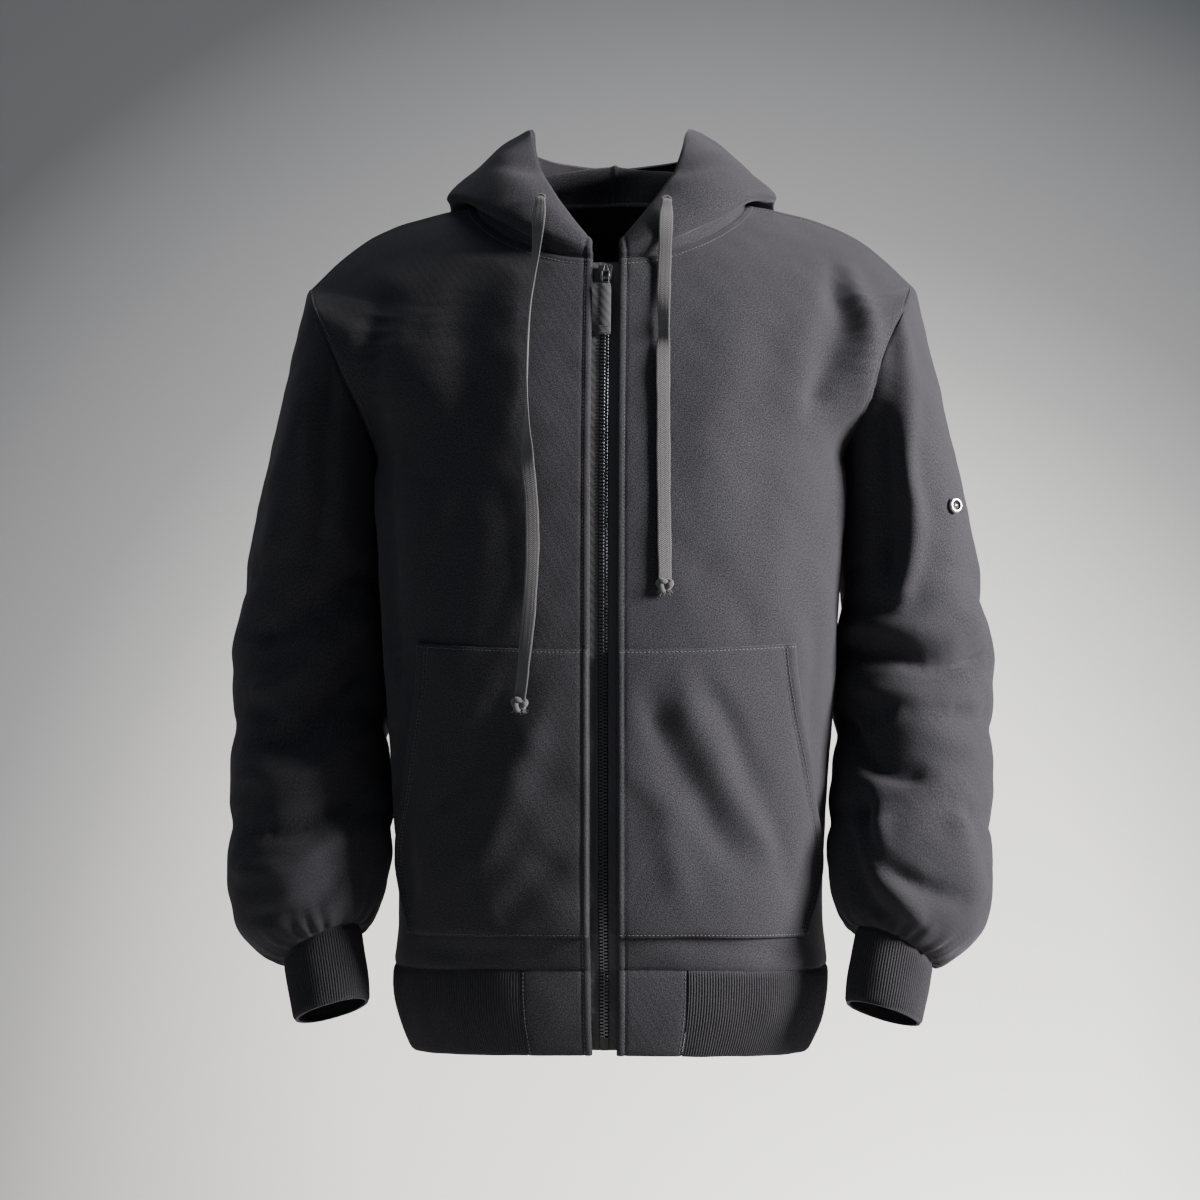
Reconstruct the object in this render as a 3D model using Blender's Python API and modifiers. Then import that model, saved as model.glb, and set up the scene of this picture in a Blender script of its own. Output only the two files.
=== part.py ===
"""Zip-up hoodie in heavy brushed sweatshirt cloth, filled out as it is when worn.

Frame: +Z up, the front faces -Y and the wearer's left is +X. The origin is midway between the two side neck
points, where the garment hangs from the wearer's shoulders. All sizes are in metres.
"""

import math

import bmesh
import bpy
import mathutils
import numpy as np

# Cloth and seams
CLOTH = 0.0020            # body cloth, one layer
HOOD_CLOTH = 0.0030       # hood cloth, two layers
RIB_CLOTH = 0.0024        # knitted rib
SEAM_GAP = 0.0004         # left between two pieces at a seam
ON_PANEL = 0.0019         # from a panel's face to the piece sewn on it

# Rows of the body panels, counted from the hem seam up to the neck
SIDE_ROWS = 13
ARMHOLE_ROWS = 8
SHOULDER_ROWS = 4
ROWS = SIDE_ROWS + ARMHOLE_ROWS + SHOULDER_ROWS
FRONT_COLUMNS = 10
SLEEVE_ROWS = 20
CUFF_ROWS = 2
HEM_ROWS = 3
HOOD_ROWS = 8
BLOCK_COLUMNS = 2         # columns of the front that the plain hem block takes

# Zip
ZIP_HALF_OPENING = 0.0105
ZIP_TOP = -0.052
ZIP_BOTTOM = -0.697
ZIP_BEHIND = 0.0041       # from the cloth's outer face back to the chain's middle plane
CHAIN_WIDTH = 0.0068
CHAIN_DEPTH = 0.0022
TAPE_DEPTH = 0.0007
TAPE_EDGE = 0.0038
TAPE_REACH = 0.0180
TAPE_BACK = 0.0004        # from the chain's middle plane back to the tape
CHAIN_FORWARD = 0.0006    # from the chain's middle plane to its face
END_LENGTH = 0.0110       # the box at the foot of the zip
END_FORWARD = 0.0010
ZIP_GAP = 0.0006          # between the chain and the slider or the box
SLIDER_BELOW_TOP = 0.0020
SLIDER_WIDTH = 0.0125
SLIDER_TAPER = 0.30       # part of its width that the slider loses at its foot
SLIDER_ROUNDING = 0.0012
SLIDER_LENGTH = 0.0140
SLIDER_DEPTH = 0.0042
SLIDER_SET = 0.0008       # from the cloth's outer face to the slider's middle plane
BRIDGE_SIZE = (0.0030, 0.0050, 0.0100)
BRIDGE_SET = -0.0030      # from the cloth's outer face to the bridge's middle
BRIDGE_BELOW = 0.0062     # from the slider's top to the bridge's middle
BRIDGE_ROUNDING = 0.0009
BRIDGE_HOLE = (0.0100, 0.0022, 0.0048)
HOLE_ROUNDING = 0.0004
BRIDGE_AXIS = -0.0034     # from the cloth's outer face to the pull's axis in the bridge
LINK_RADIUS = 0.0006
LINK_HALF_WIDTH = 0.0030
LINK_NARROWING = 0.9      # the link's width at its foot, beside its top
LINK_DROP = 0.0090
LINK_BULGE = (0.0008, 0.0012)   # how far its top and its foot curve up and down
LINK_FORWARD = 0.0018
LINK_SINK = 0.0004        # how far the link's wire hangs below the axis
PULL_WIDTH = 0.0100
PULL_LENGTH = 0.0440
PULL_DEPTH = 0.0022
PULL_ROUNDING = 0.0006
PULL_GAP = 0.0002         # between the link and the tab
PULL_REST = 0.0004        # from the chain's face to the middle of the pull, with the link's forward set

# Pocket
POCKET_TOP = -0.370
POCKET_BOTTOM = -0.602
POCKET_INNER = 0.0116
POCKET_SHARED = 5         # columns of the front that the pocket also has

# Hem
HEM_SEAM = -0.6305         # height of the hem seam at the front edge
HEM_BOTTOM = -0.702
HEM_DROP = HEM_BOTTOM - HEM_SEAM

# Drawcord and its end knot
CORD_HALF_WIDTH = 0.0056
CORD_DEPTH = 0.0018
CORD_CLEAR = 0.0012       # least distance from the cord to the cloth it lies on
CORD_STEPS = 26
KNOT_RADII = (0.0085, 0.0040, 0.0062)
KNOT_FORWARD = 0.0008
KNOT_GAP = 0.0007

BUTTON_RADIUS = 0.0066
BUTTON_HEIGHT = 0.0030
BUTTON_SHANK = 0.0030
BUTTON_PLACE = (0.292, -0.045, -0.250)
BUTTON_TURN = 0.35        # how far the button turns from square to the cloth toward the front

# Side seam: height, then x and y
SIDE_SEAM = [
    # z,      x,      y
    (-0.638, 0.1840, 0.000),
    (-0.612, 0.1810, 0.000),
    (-0.560, 0.1795, 0.001),
    (-0.480, 0.1820, 0.003),
    (-0.390, 0.1860, 0.006),
    (-0.300, 0.1900, 0.008),
    (-0.215, 0.1960, 0.010),
]

# Armhole seam, from the armpit up the front to the shoulder tip and down the back
ARMHOLE = [
    # x,      y,      z
    (0.1960, 0.010, -0.215),
    (0.2070, -0.046, -0.180),
    (0.2270, -0.064, -0.130),
    (0.2490, -0.042, -0.085),
    (0.2575, 0.004, -0.065),
    (0.2490, 0.050, -0.085),
    (0.2270, 0.076, -0.130),
    (0.2050, 0.062, -0.180),
]

# Shoulder seam, from the tip to the side neck point
SHOULDER_SEAM = [
    # x,      y,      z
    (0.2575, 0.004, -0.065),
    (0.2200, 0.001, -0.031),
    (0.1850, 0.000, -0.012),
    (0.1450, 0.000, -0.001),
    (0.1150, 0.000, 0.005),
]

# How the rows round off the seam's corner at the shoulder tip: from which row, and shares by rows away
SOFT_FROM = 16
SOFTENING = [(-2, 1 / 9), (-1, 2 / 9), (0, 3 / 9), (1, 2 / 9), (2, 1 / 9)]

# Rows of the front: where the row starts at the zip edge, how far it runs straight across, and how it meets
# its outer seam: the direction it arrives in, and the length of that pull
FRONT_SHAPE = [
    # row,  z,      y,      reach, to x, to y, to z, pull
    (0.0, HEM_SEAM, -0.138, 0.105, 0.00, 1.00, 0.00, 0.088),
    (0.8, -0.605, -0.147, 0.105, 0.00, 1.00, 0.00, 0.092),
    (4.0, -0.500, -0.152, 0.110, -0.14, 1.00, 0.00, 0.095),
    (7.5, -0.400, -0.155, 0.112, -0.24, 1.00, 0.00, 0.100),
    (10.5, -0.310, -0.154, 0.115, -0.28, 1.00, 0.00, 0.104),
    (13.0, -0.240, -0.149, 0.118, -0.20, 1.00, 0.00, 0.094),
    (15.0, -0.195, -0.143, 0.115, 0.45, 0.90, 0.00, 0.054),
    (17.0, -0.163, -0.136, 0.110, 0.75, 0.65, 0.22, 0.050),
    (19.0, -0.132, -0.128, 0.105, 0.65, 0.72, 0.37, 0.056),
    (21.0, -0.102, -0.118, 0.098, 0.35, 0.78, 0.27, 0.070),
    (23.0, -0.073, -0.107, 0.080, 0.12, 0.88, 0.40, 0.074),
    (25.0, -0.048, -0.097, 0.058, 0.00, 1.00, 0.30, 0.058),
]

# Rows of the back, from the middle of the back out to the same seams
BACK_SHAPE = [
    # row,  z,      y,     reach, to x, to y, to z, pull
    (0.0, -0.640, 0.124, 0.105, 0.00, -1.00, 0.00, 0.075),
    (0.8, -0.612, 0.131, 0.105, 0.00, -1.00, 0.00, 0.078),
    (4.0, -0.500, 0.133, 0.110, -0.04, -1.00, 0.00, 0.080),
    (7.5, -0.390, 0.139, 0.115, -0.08, -1.00, 0.00, 0.083),
    (10.5, -0.285, 0.147, 0.120, -0.10, -1.00, 0.00, 0.086),
    (13.0, -0.200, 0.151, 0.125, -0.05, -1.00, 0.00, 0.084),
    (15.0, -0.154, 0.148, 0.120, 0.50, -0.85, -0.05, 0.055),
    (17.0, -0.119, 0.142, 0.112, 0.75, -0.65, 0.11, 0.054),
    (19.0, -0.086, 0.134, 0.106, 0.65, -0.72, 0.28, 0.060),
    (21.0, -0.052, 0.122, 0.100, 0.40, -0.80, 0.17, 0.068),
    (23.0, -0.018, 0.104, 0.080, 0.12, -0.95, 0.30, 0.070),
    (25.0, 0.013, 0.086, 0.058, 0.00, -1.00, 0.12, 0.052),
]

# Rings of the left sleeve below the armhole: the side next to the body, the outer side, the middle in y, the
# half depth, and how much higher the front of the ring is than its middle
SLEEVE_RINGS = [
    # row, in x,   in z,   out x,  out z,  y,      depth, lift
    (3.0, 0.1975, -0.262, 0.2830, -0.172, 0.010, 0.080, 0.000),
    (5.5, 0.1935, -0.315, 0.3030, -0.250, 0.018, 0.081, 0.000),
    (8.0, 0.1910, -0.362, 0.3165, -0.322, 0.021, 0.079, 0.002),
    (10.0, 0.1880, -0.405, 0.3235, -0.387, 0.017, 0.077, 0.006),
    (12.5, 0.1875, -0.462, 0.3240, -0.463, -0.001, 0.074, 0.012),
    (14.5, 0.1825, -0.515, 0.3220, -0.527, -0.025, 0.071, 0.016),
    (16.5, 0.1845, -0.558, 0.3190, -0.581, -0.045, 0.066, 0.018),
    (18.0, 0.1905, -0.586, 0.3080, -0.611, -0.056, 0.059, 0.017),
    (19.2, 0.1985, -0.598, 0.2850, -0.628, -0.062, 0.047, 0.014),
    (20.0, 0.2060, -0.603, 0.2700, -0.633, -0.064, 0.038, 0.012),
]

# Rings of the left cuff, from the sleeve seam to the hand
CUFF_RINGS = [
    # row, in x,   in z,   out x,  out z,  y,      depth, lift
    (0.0, 0.2060, -0.603, 0.2700, -0.633, -0.064, 0.038, 0.012),
    (1.0, 0.2000, -0.633, 0.2650, -0.657, -0.073, 0.037, 0.010),
    (2.0, 0.1965, -0.662, 0.2590, -0.680, -0.082, 0.036, 0.010),
]

# Hood, by the angle round the neck from the zip to the middle of the back: the roll above the neck seam, the
# underside, the lowest outer fold, the upper side and the opening edge, each as a radius and a height
HOOD_SHAPE = [
    # angle, roll r, z,    under r, z,     fold r, z,      upper r, z,     edge r, z
    (6, 0.0985, -0.0455, 0.0990, -0.043, 0.0990, -0.041, 0.0980, -0.038, 0.0955, -0.034),
    (23, 0.1030, -0.0400, 0.1070, -0.034, 0.1080, -0.026, 0.1010, -0.013, 0.0880, -0.003),
    (37, 0.1050, -0.0300, 0.1120, -0.025, 0.1140, -0.014, 0.1010, 0.005, 0.0800, 0.018),
    (52, 0.1080, -0.0160, 0.1190, -0.013, 0.1220, 0.000, 0.1030, 0.023, 0.0735, 0.039),
    (72, 0.1150, 0.0050, 0.1250, 0.003, 0.1300, 0.013, 0.1020, 0.040, 0.0670, 0.062),
    (90, 0.1180, 0.0130, 0.1310, 0.007, 0.1380, 0.016, 0.1040, 0.044, 0.0670, 0.071),
    (110, 0.1150, 0.0250, 0.1360, 0.008, 0.1480, 0.006, 0.1200, 0.042, 0.0760, 0.072),
    (130, 0.1100, 0.0320, 0.1570, -0.038, 0.1860, -0.048, 0.1620, 0.022, 0.1020, 0.068),
    (155, 0.1040, 0.0380, 0.1660, -0.095, 0.2060, -0.122, 0.2180, -0.022, 0.1480, 0.062),
    (180, 0.1020, 0.0400, 0.1670, -0.125, 0.2080, -0.155, 0.2360, -0.045, 0.1720, 0.056),
]

# Pocket's open side: height, then x
POCKET_OPENING = [
    # z,      x
    (-0.602, 0.1630),
    (-0.565, 0.1715),
    (-0.535, 0.1745),
    (-0.490, 0.1700),
    (-0.440, 0.1620),
    (-0.400, 0.1560),
    (-0.370, 0.1535),
]

# Largest folds: each is a soft ridge (height above zero) or trough (below zero) along a straight stretch
FOLDS = [
    # from x, y,     z,     to x,   y,      z,      width, height
    (0.208, -0.075, -0.080, 0.200, -0.080, -0.400, 0.022, 0.0040),
    (0.185, -0.112, -0.090, 0.168, -0.130, -0.230, 0.024, -0.0050),
    (0.205, -0.058, -0.365, 0.325, -0.040, -0.380, 0.022, -0.0080),
    (0.215, -0.060, -0.330, 0.320, -0.040, -0.335, 0.020, 0.0050),
    (0.230, -0.090, -0.500, 0.300, -0.090, -0.590, 0.024, -0.0070),
    (0.205, 0.100, -0.300, 0.300, 0.090, -0.350, 0.024, -0.0060),
    (0.060, -0.150, -0.420, 0.150, -0.140, -0.590, 0.026, -0.0030),
]

# Routes of the drawcords: x, height, distance of the cord's middle from the cloth, and its turn in degrees
CORD_LEFT = [
    # x,      z,      off,    turn
    (0.0500, -0.004, 0.0030, 10),
    (0.0495, -0.024, 0.0040, 8),
    (0.0485, -0.050, 0.0045, 0),
    (0.0480, -0.080, 0.0040, -10),
    (0.0485, -0.108, 0.0040, -35),
    (0.0480, -0.130, 0.0035, 5),
    (0.0485, -0.180, 0.0030, 8),
    (0.0490, -0.240, 0.0030, 10),
    (0.0500, -0.300, 0.0030, 15),
    (0.0500, -0.3135, 0.0030, 15),
]
CORD_RIGHT = [
    # x,      z,      off,    turn
    (0.0540, -0.002, 0.0030, 10),
    (0.0560, -0.030, 0.0040, 35),
    (0.0590, -0.065, 0.0050, 70),
    (0.0615, -0.100, 0.0062, 86),
    (0.0625, -0.150, 0.0062, 86),
    (0.0620, -0.190, 0.0055, 60),
    (0.0610, -0.220, 0.0035, 15),
    (0.0580, -0.250, 0.0030, 8),
    (0.0570, -0.290, 0.0030, 5),
    (0.0590, -0.330, 0.0030, 10),
    (0.0620, -0.365, 0.0030, 20),
    (0.0650, -0.395, 0.0035, 30),
    (0.0670, -0.4095, 0.0035, 30),
]

COLOURS = {
    "cloth": ((0.0133, 0.0137, 0.0160), 0.95, 0.0),
    "rib": ((0.0150, 0.0152, 0.0175), 0.95, 0.0),
    "cord": ((0.0300, 0.0300, 0.0320), 0.90, 0.0),
    "tape": ((0.0120, 0.0120, 0.0140), 0.90, 0.0),
    "gunmetal": ((0.0900, 0.0900, 0.0950), 0.35, 1.0),
}

for old in list(bpy.data.objects):
    bpy.data.objects.remove(old, do_unlink=True)
hoodie = bpy.data.collections.new("zip_up_hoodie")
bpy.context.scene.collection.children.link(hoodie)


def material(name, kind):
    colour, roughness, metallic = COLOURS[kind]
    made = bpy.data.materials.new(name)
    made.use_nodes = True
    shader = made.node_tree.nodes["Principled BSDF"]
    shader.inputs["Base Color"].default_value = (*colour, 1.0)
    shader.inputs["Roughness"].default_value = roughness
    shader.inputs["Metallic"].default_value = metallic
    return made


def add_object(name, data, kind):
    made = bpy.data.objects.new(name, data)
    data.materials.append(material(name, kind))
    hoodie.objects.link(made)
    return made


def smooth(table, at):
    """Reads a table, whose first column is the key, with a smooth curve through its rows."""
    rows = np.asarray(table, float)
    keys, values = rows[:, 0], rows[:, 1:]
    if keys[0] > keys[-1]:
        keys, values = keys[::-1], values[::-1]
    at = min(max(at, keys[0]), keys[-1])
    k = min(int(np.searchsorted(keys, at, side="right")) - 1, len(keys) - 2)
    slopes = np.gradient(values, keys, axis=0)
    step = keys[k + 1] - keys[k]
    u = (at - keys[k]) / step
    return (
        (2 * u**3 - 3 * u**2 + 1) * values[k]
        + (u**3 - 2 * u**2 + u) * step * slopes[k]
        + (3 * u**2 - 2 * u**3) * values[k + 1]
        + (u**3 - u**2) * step * slopes[k + 1]
    )


def along(points, fraction):
    """A point on the smooth open curve through the points, at a fraction of the way by point count."""
    table = [(i, *p) for i, p in enumerate(points)]
    return smooth(table, fraction * (len(points) - 1))


def round_loop(points, turn):
    """A point on the smooth closed curve through the points, at a part of one turn."""
    count = len(points)
    table = [(i, *points[i % count]) for i in range(-2, count + 3)]
    return smooth(table, (turn % 1.0) * count)


def outer_seam(row, half):
    """The outer seam of a body panel at a row: side seam, then armhole, then shoulder seam."""
    if row <= SIDE_ROWS:
        low, high = SIDE_SEAM[0][0], SIDE_SEAM[-1][0]
        z = low + (high - low) * row / SIDE_ROWS
        x, y = smooth(SIDE_SEAM, z)
        return np.array((x, y, z))
    if row <= SIDE_ROWS + ARMHOLE_ROWS:
        part = (row - SIDE_ROWS) / ARMHOLE_ROWS * 0.5
        return round_loop(ARMHOLE, part if half == "front" else 1 - part)
    return along(SHOULDER_SEAM, (row - SIDE_ROWS - ARMHOLE_ROWS) / SHOULDER_ROWS)


def soft_seam(row, half):
    """The outer seam with its corner at the shoulder tip rounded off, which the rows lean toward."""
    end = outer_seam(row, half)
    if row <= SOFT_FROM:
        return end
    total = 0
    for shift, weight in SOFTENING:
        near = row + shift
        past = near - ROWS
        spot = outer_seam(min(near, 2 * ROWS - near), half)
        total = total + weight * (2 * outer_seam(ROWS, half) - spot if past > 0 else spot)
    share = min((row - SOFT_FROM) / 2, 1.0)
    return end * (1 - share) + total * share


def body_point(row, part, half):
    """A point of the left front or left half of the back, part of the way along a row from the middle."""
    z, y, reach, *arrival, pull = smooth(FRONT_SHAPE if half == "front" else BACK_SHAPE, row)
    start = np.array((ZIP_HALF_OPENING if half == "front" else 0.0, y, z))
    end = outer_seam(row, half)
    arrival = np.array(arrival) / np.linalg.norm(arrival)
    second = start + np.array((reach, 0, 0))
    third = soft_seam(row, half) - arrival * pull
    rest = 1 - part
    return rest**3 * start + 3 * rest**2 * part * second + 3 * rest * part**2 * third + part**3 * end


def front_place(x, z):
    """The row whose zip end has a height, and the part of the way along it that is at a place across."""
    low, high = 0.0, float(ROWS)
    for _ in range(30):
        row = (low + high) / 2
        low, high = (row, high) if body_point(row, 0, "front")[2] < z else (low, row)
    start, end = 0.0, 1.0
    for _ in range(30):
        part = (start + end) / 2
        start, end = (part, end) if body_point(row, part, "front")[0] < x else (start, part)
    return row, part


def front_at(x, z):
    return body_point(*front_place(x, z), "front")


def ring_point(ring, turn):
    """A point of a sleeve ring: it starts beside the body and goes round by the front."""
    in_x, in_z, out_x, out_z, y, depth, lift = ring
    cosine, sine = math.cos(turn * math.tau), math.sin(turn * math.tau)
    across = (1 - cosine) / 2
    return np.array((
        in_x + (out_x - in_x) * across,
        y - depth * sine,
        in_z + (out_z - in_z) * across + lift * sine,
    ))


def sleeve_point(row, turn):
    rings = [ring_point(ring[1:], turn) for ring in SLEEVE_RINGS]
    table = [(0.0, *round_loop(ARMHOLE, turn))]
    table += [(ring[0], *point) for ring, point in zip(SLEEVE_RINGS, rings)]
    return smooth(table, row)


def hood_point(seam, part):
    """A point of the left hood half on the section that stands on a point of the neck seam."""
    angle = math.atan2(seam[0], -seam[1])
    shape = smooth(HOOD_SHAPE, math.degrees(angle)).reshape(-1, 2)
    section = [(math.hypot(seam[0], seam[1]), seam[2]), *shape]
    r, z = along(section, part)
    return np.array((r * math.sin(angle), -r * math.cos(angle), z))


def hem_point(seam, part):
    """A point of the hem band: it draws in below the seam and turns under a little at the bottom."""
    swell = 1 + 0.030 * math.sin(part * math.pi) - 0.085 * part
    return np.array((seam[0] * swell, seam[1] * swell, seam[2] + HEM_DROP * part))


# Every surface is a grid of points of the cloth's outer face
front = np.array([
    [body_point(i, j / FRONT_COLUMNS, "front") for j in range(FRONT_COLUMNS + 1)] for i in range(ROWS + 1)
])
back_half = np.array([
    [body_point(i, j / FRONT_COLUMNS, "back") for j in range(FRONT_COLUMNS + 1)] for i in range(ROWS + 1)
])
MIRROR = np.array((-1.0, 1.0, 1.0))
back = np.concatenate([back_half[:, ::-1], back_half[:, 1:] * MIRROR], axis=1)
turns = 2 * ARMHOLE_ROWS
sleeve = np.array([[sleeve_point(i, j / turns) for j in range(turns)] for i in range(SLEEVE_ROWS + 1)])
cuff_rings = [smooth(CUFF_RINGS, i) for i in range(CUFF_ROWS + 1)]
cuff = np.array([[ring_point(ring, j / turns) for j in range(turns)] for ring in cuff_rings])
neck_seam = np.concatenate([front[-1], back_half[-1][::-1][1:]])
hood = np.array([[hood_point(seam, i / HOOD_ROWS) for seam in neck_seam] for i in range(HOOD_ROWS + 1)])
hem_seam = np.concatenate([front[0], back_half[0][::-1][1:]])
hem_half = np.array([[hem_point(seam, i / HEM_ROWS) for seam in hem_seam] for i in range(HEM_ROWS + 1)])
rib_half = hem_half[:, BLOCK_COLUMNS:]
rib = np.concatenate([rib_half, rib_half[:, ::-1][:, 1:] * MIRROR], axis=1)
block = hem_half[:, : BLOCK_COLUMNS + 1]

# Skin pieces: grid, closed round, which way the grid's rows and columns turn, and the cloth
SKIN = {
    "front_left": (front, False, 1, CLOTH),
    "front_right": (front * MIRROR, False, -1, CLOTH),
    "back": (back, False, 1, CLOTH),
    "sleeve_left": (sleeve, True, -1, CLOTH),
    "sleeve_right": (sleeve * MIRROR, True, 1, CLOTH),
    "cuff_left": (cuff, True, -1, RIB_CLOTH),
    "cuff_right": (cuff * MIRROR, True, 1, RIB_CLOTH),
    "hood_left": (hood, False, 1, HOOD_CLOTH),
    "hood_right": (hood * MIRROR, False, -1, HOOD_CLOTH),
    "hem_rib": (rib, False, -1, RIB_CLOTH),
    "hem_block_left": (block, False, -1, CLOTH),
    "hem_block_right": (block * MIRROR, False, 1, CLOTH),
}


def vertex_normals(grid, closed, turn):
    """Sums of the normals of the cells that meet at each point."""
    around = np.concatenate([grid, grid[:, :1]], axis=1) if closed else grid
    cell = np.cross(around[1:, 1:] - around[:-1, :-1], around[1:, :-1] - around[:-1, 1:]) * turn
    total = np.zeros_like(around)
    for rows in (slice(None, -1), slice(1, None)):
        for columns in (slice(None, -1), slice(1, None)):
            total[rows, columns] += cell
    if closed:
        total[:, 0] += total[:, -1]
        total = total[:, :-1]
    return total


def place(point):
    """A point's place as a key, so that pieces that meet at a seam find each other's points there."""
    return tuple(np.round(point / 0.00005).astype(int))


def fold_height(point):
    """How far the folds move a point of the cloth out."""
    height = 0.0
    for x0, y0, z0, x1, y1, z1, width, rise in FOLDS:
        start, end = np.array((x0, y0, z0)), np.array((x1, y1, z1))
        here = np.array((abs(point[0]), point[1], point[2]))
        part = np.clip(np.dot(here - start, end - start) / np.dot(end - start, end - start), 0, 1)
        distance = np.linalg.norm(here - start - part * (end - start))
        height += rise * math.exp(-((distance / width) ** 2))
    return height


shared = {}
for grid, closed, turn, _ in SKIN.values():
    sums = vertex_normals(grid, closed, turn)
    for point, total in zip(grid.reshape(-1, 3), sums.reshape(-1, 3)):
        key = place(point)
        shared[key] = shared.get(key, np.zeros(3)) + total


def outward(grid):
    normals = np.array([shared[place(point)] for point in grid.reshape(-1, 3)]).reshape(grid.shape)
    return normals / np.linalg.norm(normals, axis=2, keepdims=True)


def folded(grid):
    heights = np.array([fold_height(point) for point in grid.reshape(-1, 3)]).reshape(grid.shape[:2])
    return grid + outward(grid) * heights[..., None]


def pulled_in(grid, closed):
    """The grid with its edges drawn in by half the seam gap."""
    moved = grid.copy()
    half = SEAM_GAP / 2

    def toward(a, b):
        step = b - a
        return half * step / np.linalg.norm(step, axis=1, keepdims=True)

    moved[0] += toward(grid[0], grid[1])
    moved[-1] += toward(grid[-1], grid[-2])
    if not closed:
        moved[:, 0] += toward(grid[:, 0], grid[:, 1])
        moved[:, -1] += toward(grid[:, -1], grid[:, -2])
    return moved


def shell(name, outer, inner, closed, kind):
    """A closed cloth wall between an outer and an inner grid."""
    rows, columns = outer.shape[:2]
    points = np.concatenate([outer.reshape(-1, 3), inner.reshape(-1, 3)])
    spans = columns if closed else columns - 1
    faces = []
    below = rows * columns

    def at(i, j):
        return i * columns + j % columns

    for i in range(rows - 1):
        for j in range(spans):
            cell = [at(i, j), at(i, j + 1), at(i + 1, j + 1), at(i + 1, j)]
            faces.append(cell)
            faces.append([below + k for k in reversed(cell)])
    for j in range(spans):
        for i, flip in ((0, False), (rows - 1, True)):
            rim = [at(i, j + 1), at(i, j), below + at(i, j), below + at(i, j + 1)]
            faces.append(rim[::-1] if flip else rim)
    if not closed:
        for i in range(rows - 1):
            for j, flip in ((0, False), (columns - 1, True)):
                rim = [at(i, j), at(i + 1, j), below + at(i + 1, j), below + at(i, j)]
                faces.append(rim[::-1] if flip else rim)
    mesh = bpy.data.meshes.new(name)
    mesh.from_pydata(points.tolist(), [], faces)
    work = bmesh.new()
    work.from_mesh(mesh)
    bmesh.ops.recalc_face_normals(work, faces=work.faces)
    work.to_mesh(mesh)
    work.free()
    mesh.shade_smooth()
    mesh.set_sharp_from_angle(angle=math.radians(50))
    return add_object(name, mesh, kind)


FRONT_FACE = folded(front)
FRONT_NORMALS = outward(front)


def cloth_pieces():
    """The panels, ribs and hood halves, each a wall between its outer face and its inner face."""
    for name, (grid, closed, _, wall) in SKIN.items():
        outer = pulled_in(folded(grid), closed)
        kind = "rib" if name.startswith(("cuff", "hem_rib")) else "cloth"
        shell(name, outer, outer - outward(grid) * wall, closed, kind)


def lines_between(low, high, step):
    """The places of the panel's own rows or columns between two limits, with the limits."""
    inner = [k * step for k in range(int(high / step) + 2) if low + step / 3 < k * step < high - step / 3]
    return [low, *inner, high]


def on_front_panel(row, part):
    """A point and the normal of the left front's outer face, straight between the panel's own points."""
    i, j = min(int(row), ROWS - 1), min(int(part * FRONT_COLUMNS), FRONT_COLUMNS - 1)
    u, v = row - i, part * FRONT_COLUMNS - j
    found = []
    for grid in (FRONT_FACE, FRONT_NORMALS):
        low = grid[i, j] * (1 - v) + grid[i, j + 1] * v
        high = grid[i + 1, j] * (1 - v) + grid[i + 1, j + 1] * v
        found.append(low * (1 - u) + high * u)
    return found[0], found[1] / np.linalg.norm(found[1])


def pockets():
    """One pocket half on each front, made from the front's points moved out, its slanted side left open."""
    inner, outer = [], []
    step = 1 / FRONT_COLUMNS
    for row in lines_between(front_place(0, POCKET_BOTTOM)[0], front_place(0, POCKET_TOP)[0], 1):
        z = body_point(row, 0, "front")[2]
        first = front_place(POCKET_INNER, z)[1]
        last = front_place(smooth(POCKET_OPENING, z)[0], z)[1]
        shared_parts = [k * step for k in range(1, POCKET_SHARED + 1)]
        rest = [POCKET_SHARED * step + (last - POCKET_SHARED * step) * k / 3 for k in (1, 2, 3)]
        spots = [on_front_panel(row, part) for part in (first, *shared_parts, *rest)]
        inner.append([point + normal * ON_PANEL for point, normal in spots])
        outer.append([point + normal * (ON_PANEL + CLOTH) for point, normal in spots])
    shell("pocket_left", np.array(outer), np.array(inner), False, "cloth")
    shell("pocket_right", np.array(outer) * MIRROR, np.array(inner) * MIRROR, False, "cloth")


def centre_line(z):
    """The y of the outer cloth beside the zip at a height."""
    if z < front[0, 0, 2]:
        part = (z - front[0, 0, 2]) / HEM_DROP
        return hem_point(front[0, 0], min(part, 1.0))[1]
    return front_at(ZIP_HALF_OPENING, z)[1]


def zip_strip(name, x0, x1, behind, depth, top, bottom, kind, steps=20):
    """An upright strip of the zip that follows the front's profile."""
    outer, inner = [], []
    for i in range(steps + 1):
        z = bottom + (top - bottom) * i / steps
        y = centre_line(z) + behind
        outer.append([(x0, y, z), (x1, y, z)])
        inner.append([(x0, y + depth, z), (x1, y + depth, z)])
    return shell(name, np.array(outer), np.array(inner), False, kind)


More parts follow.
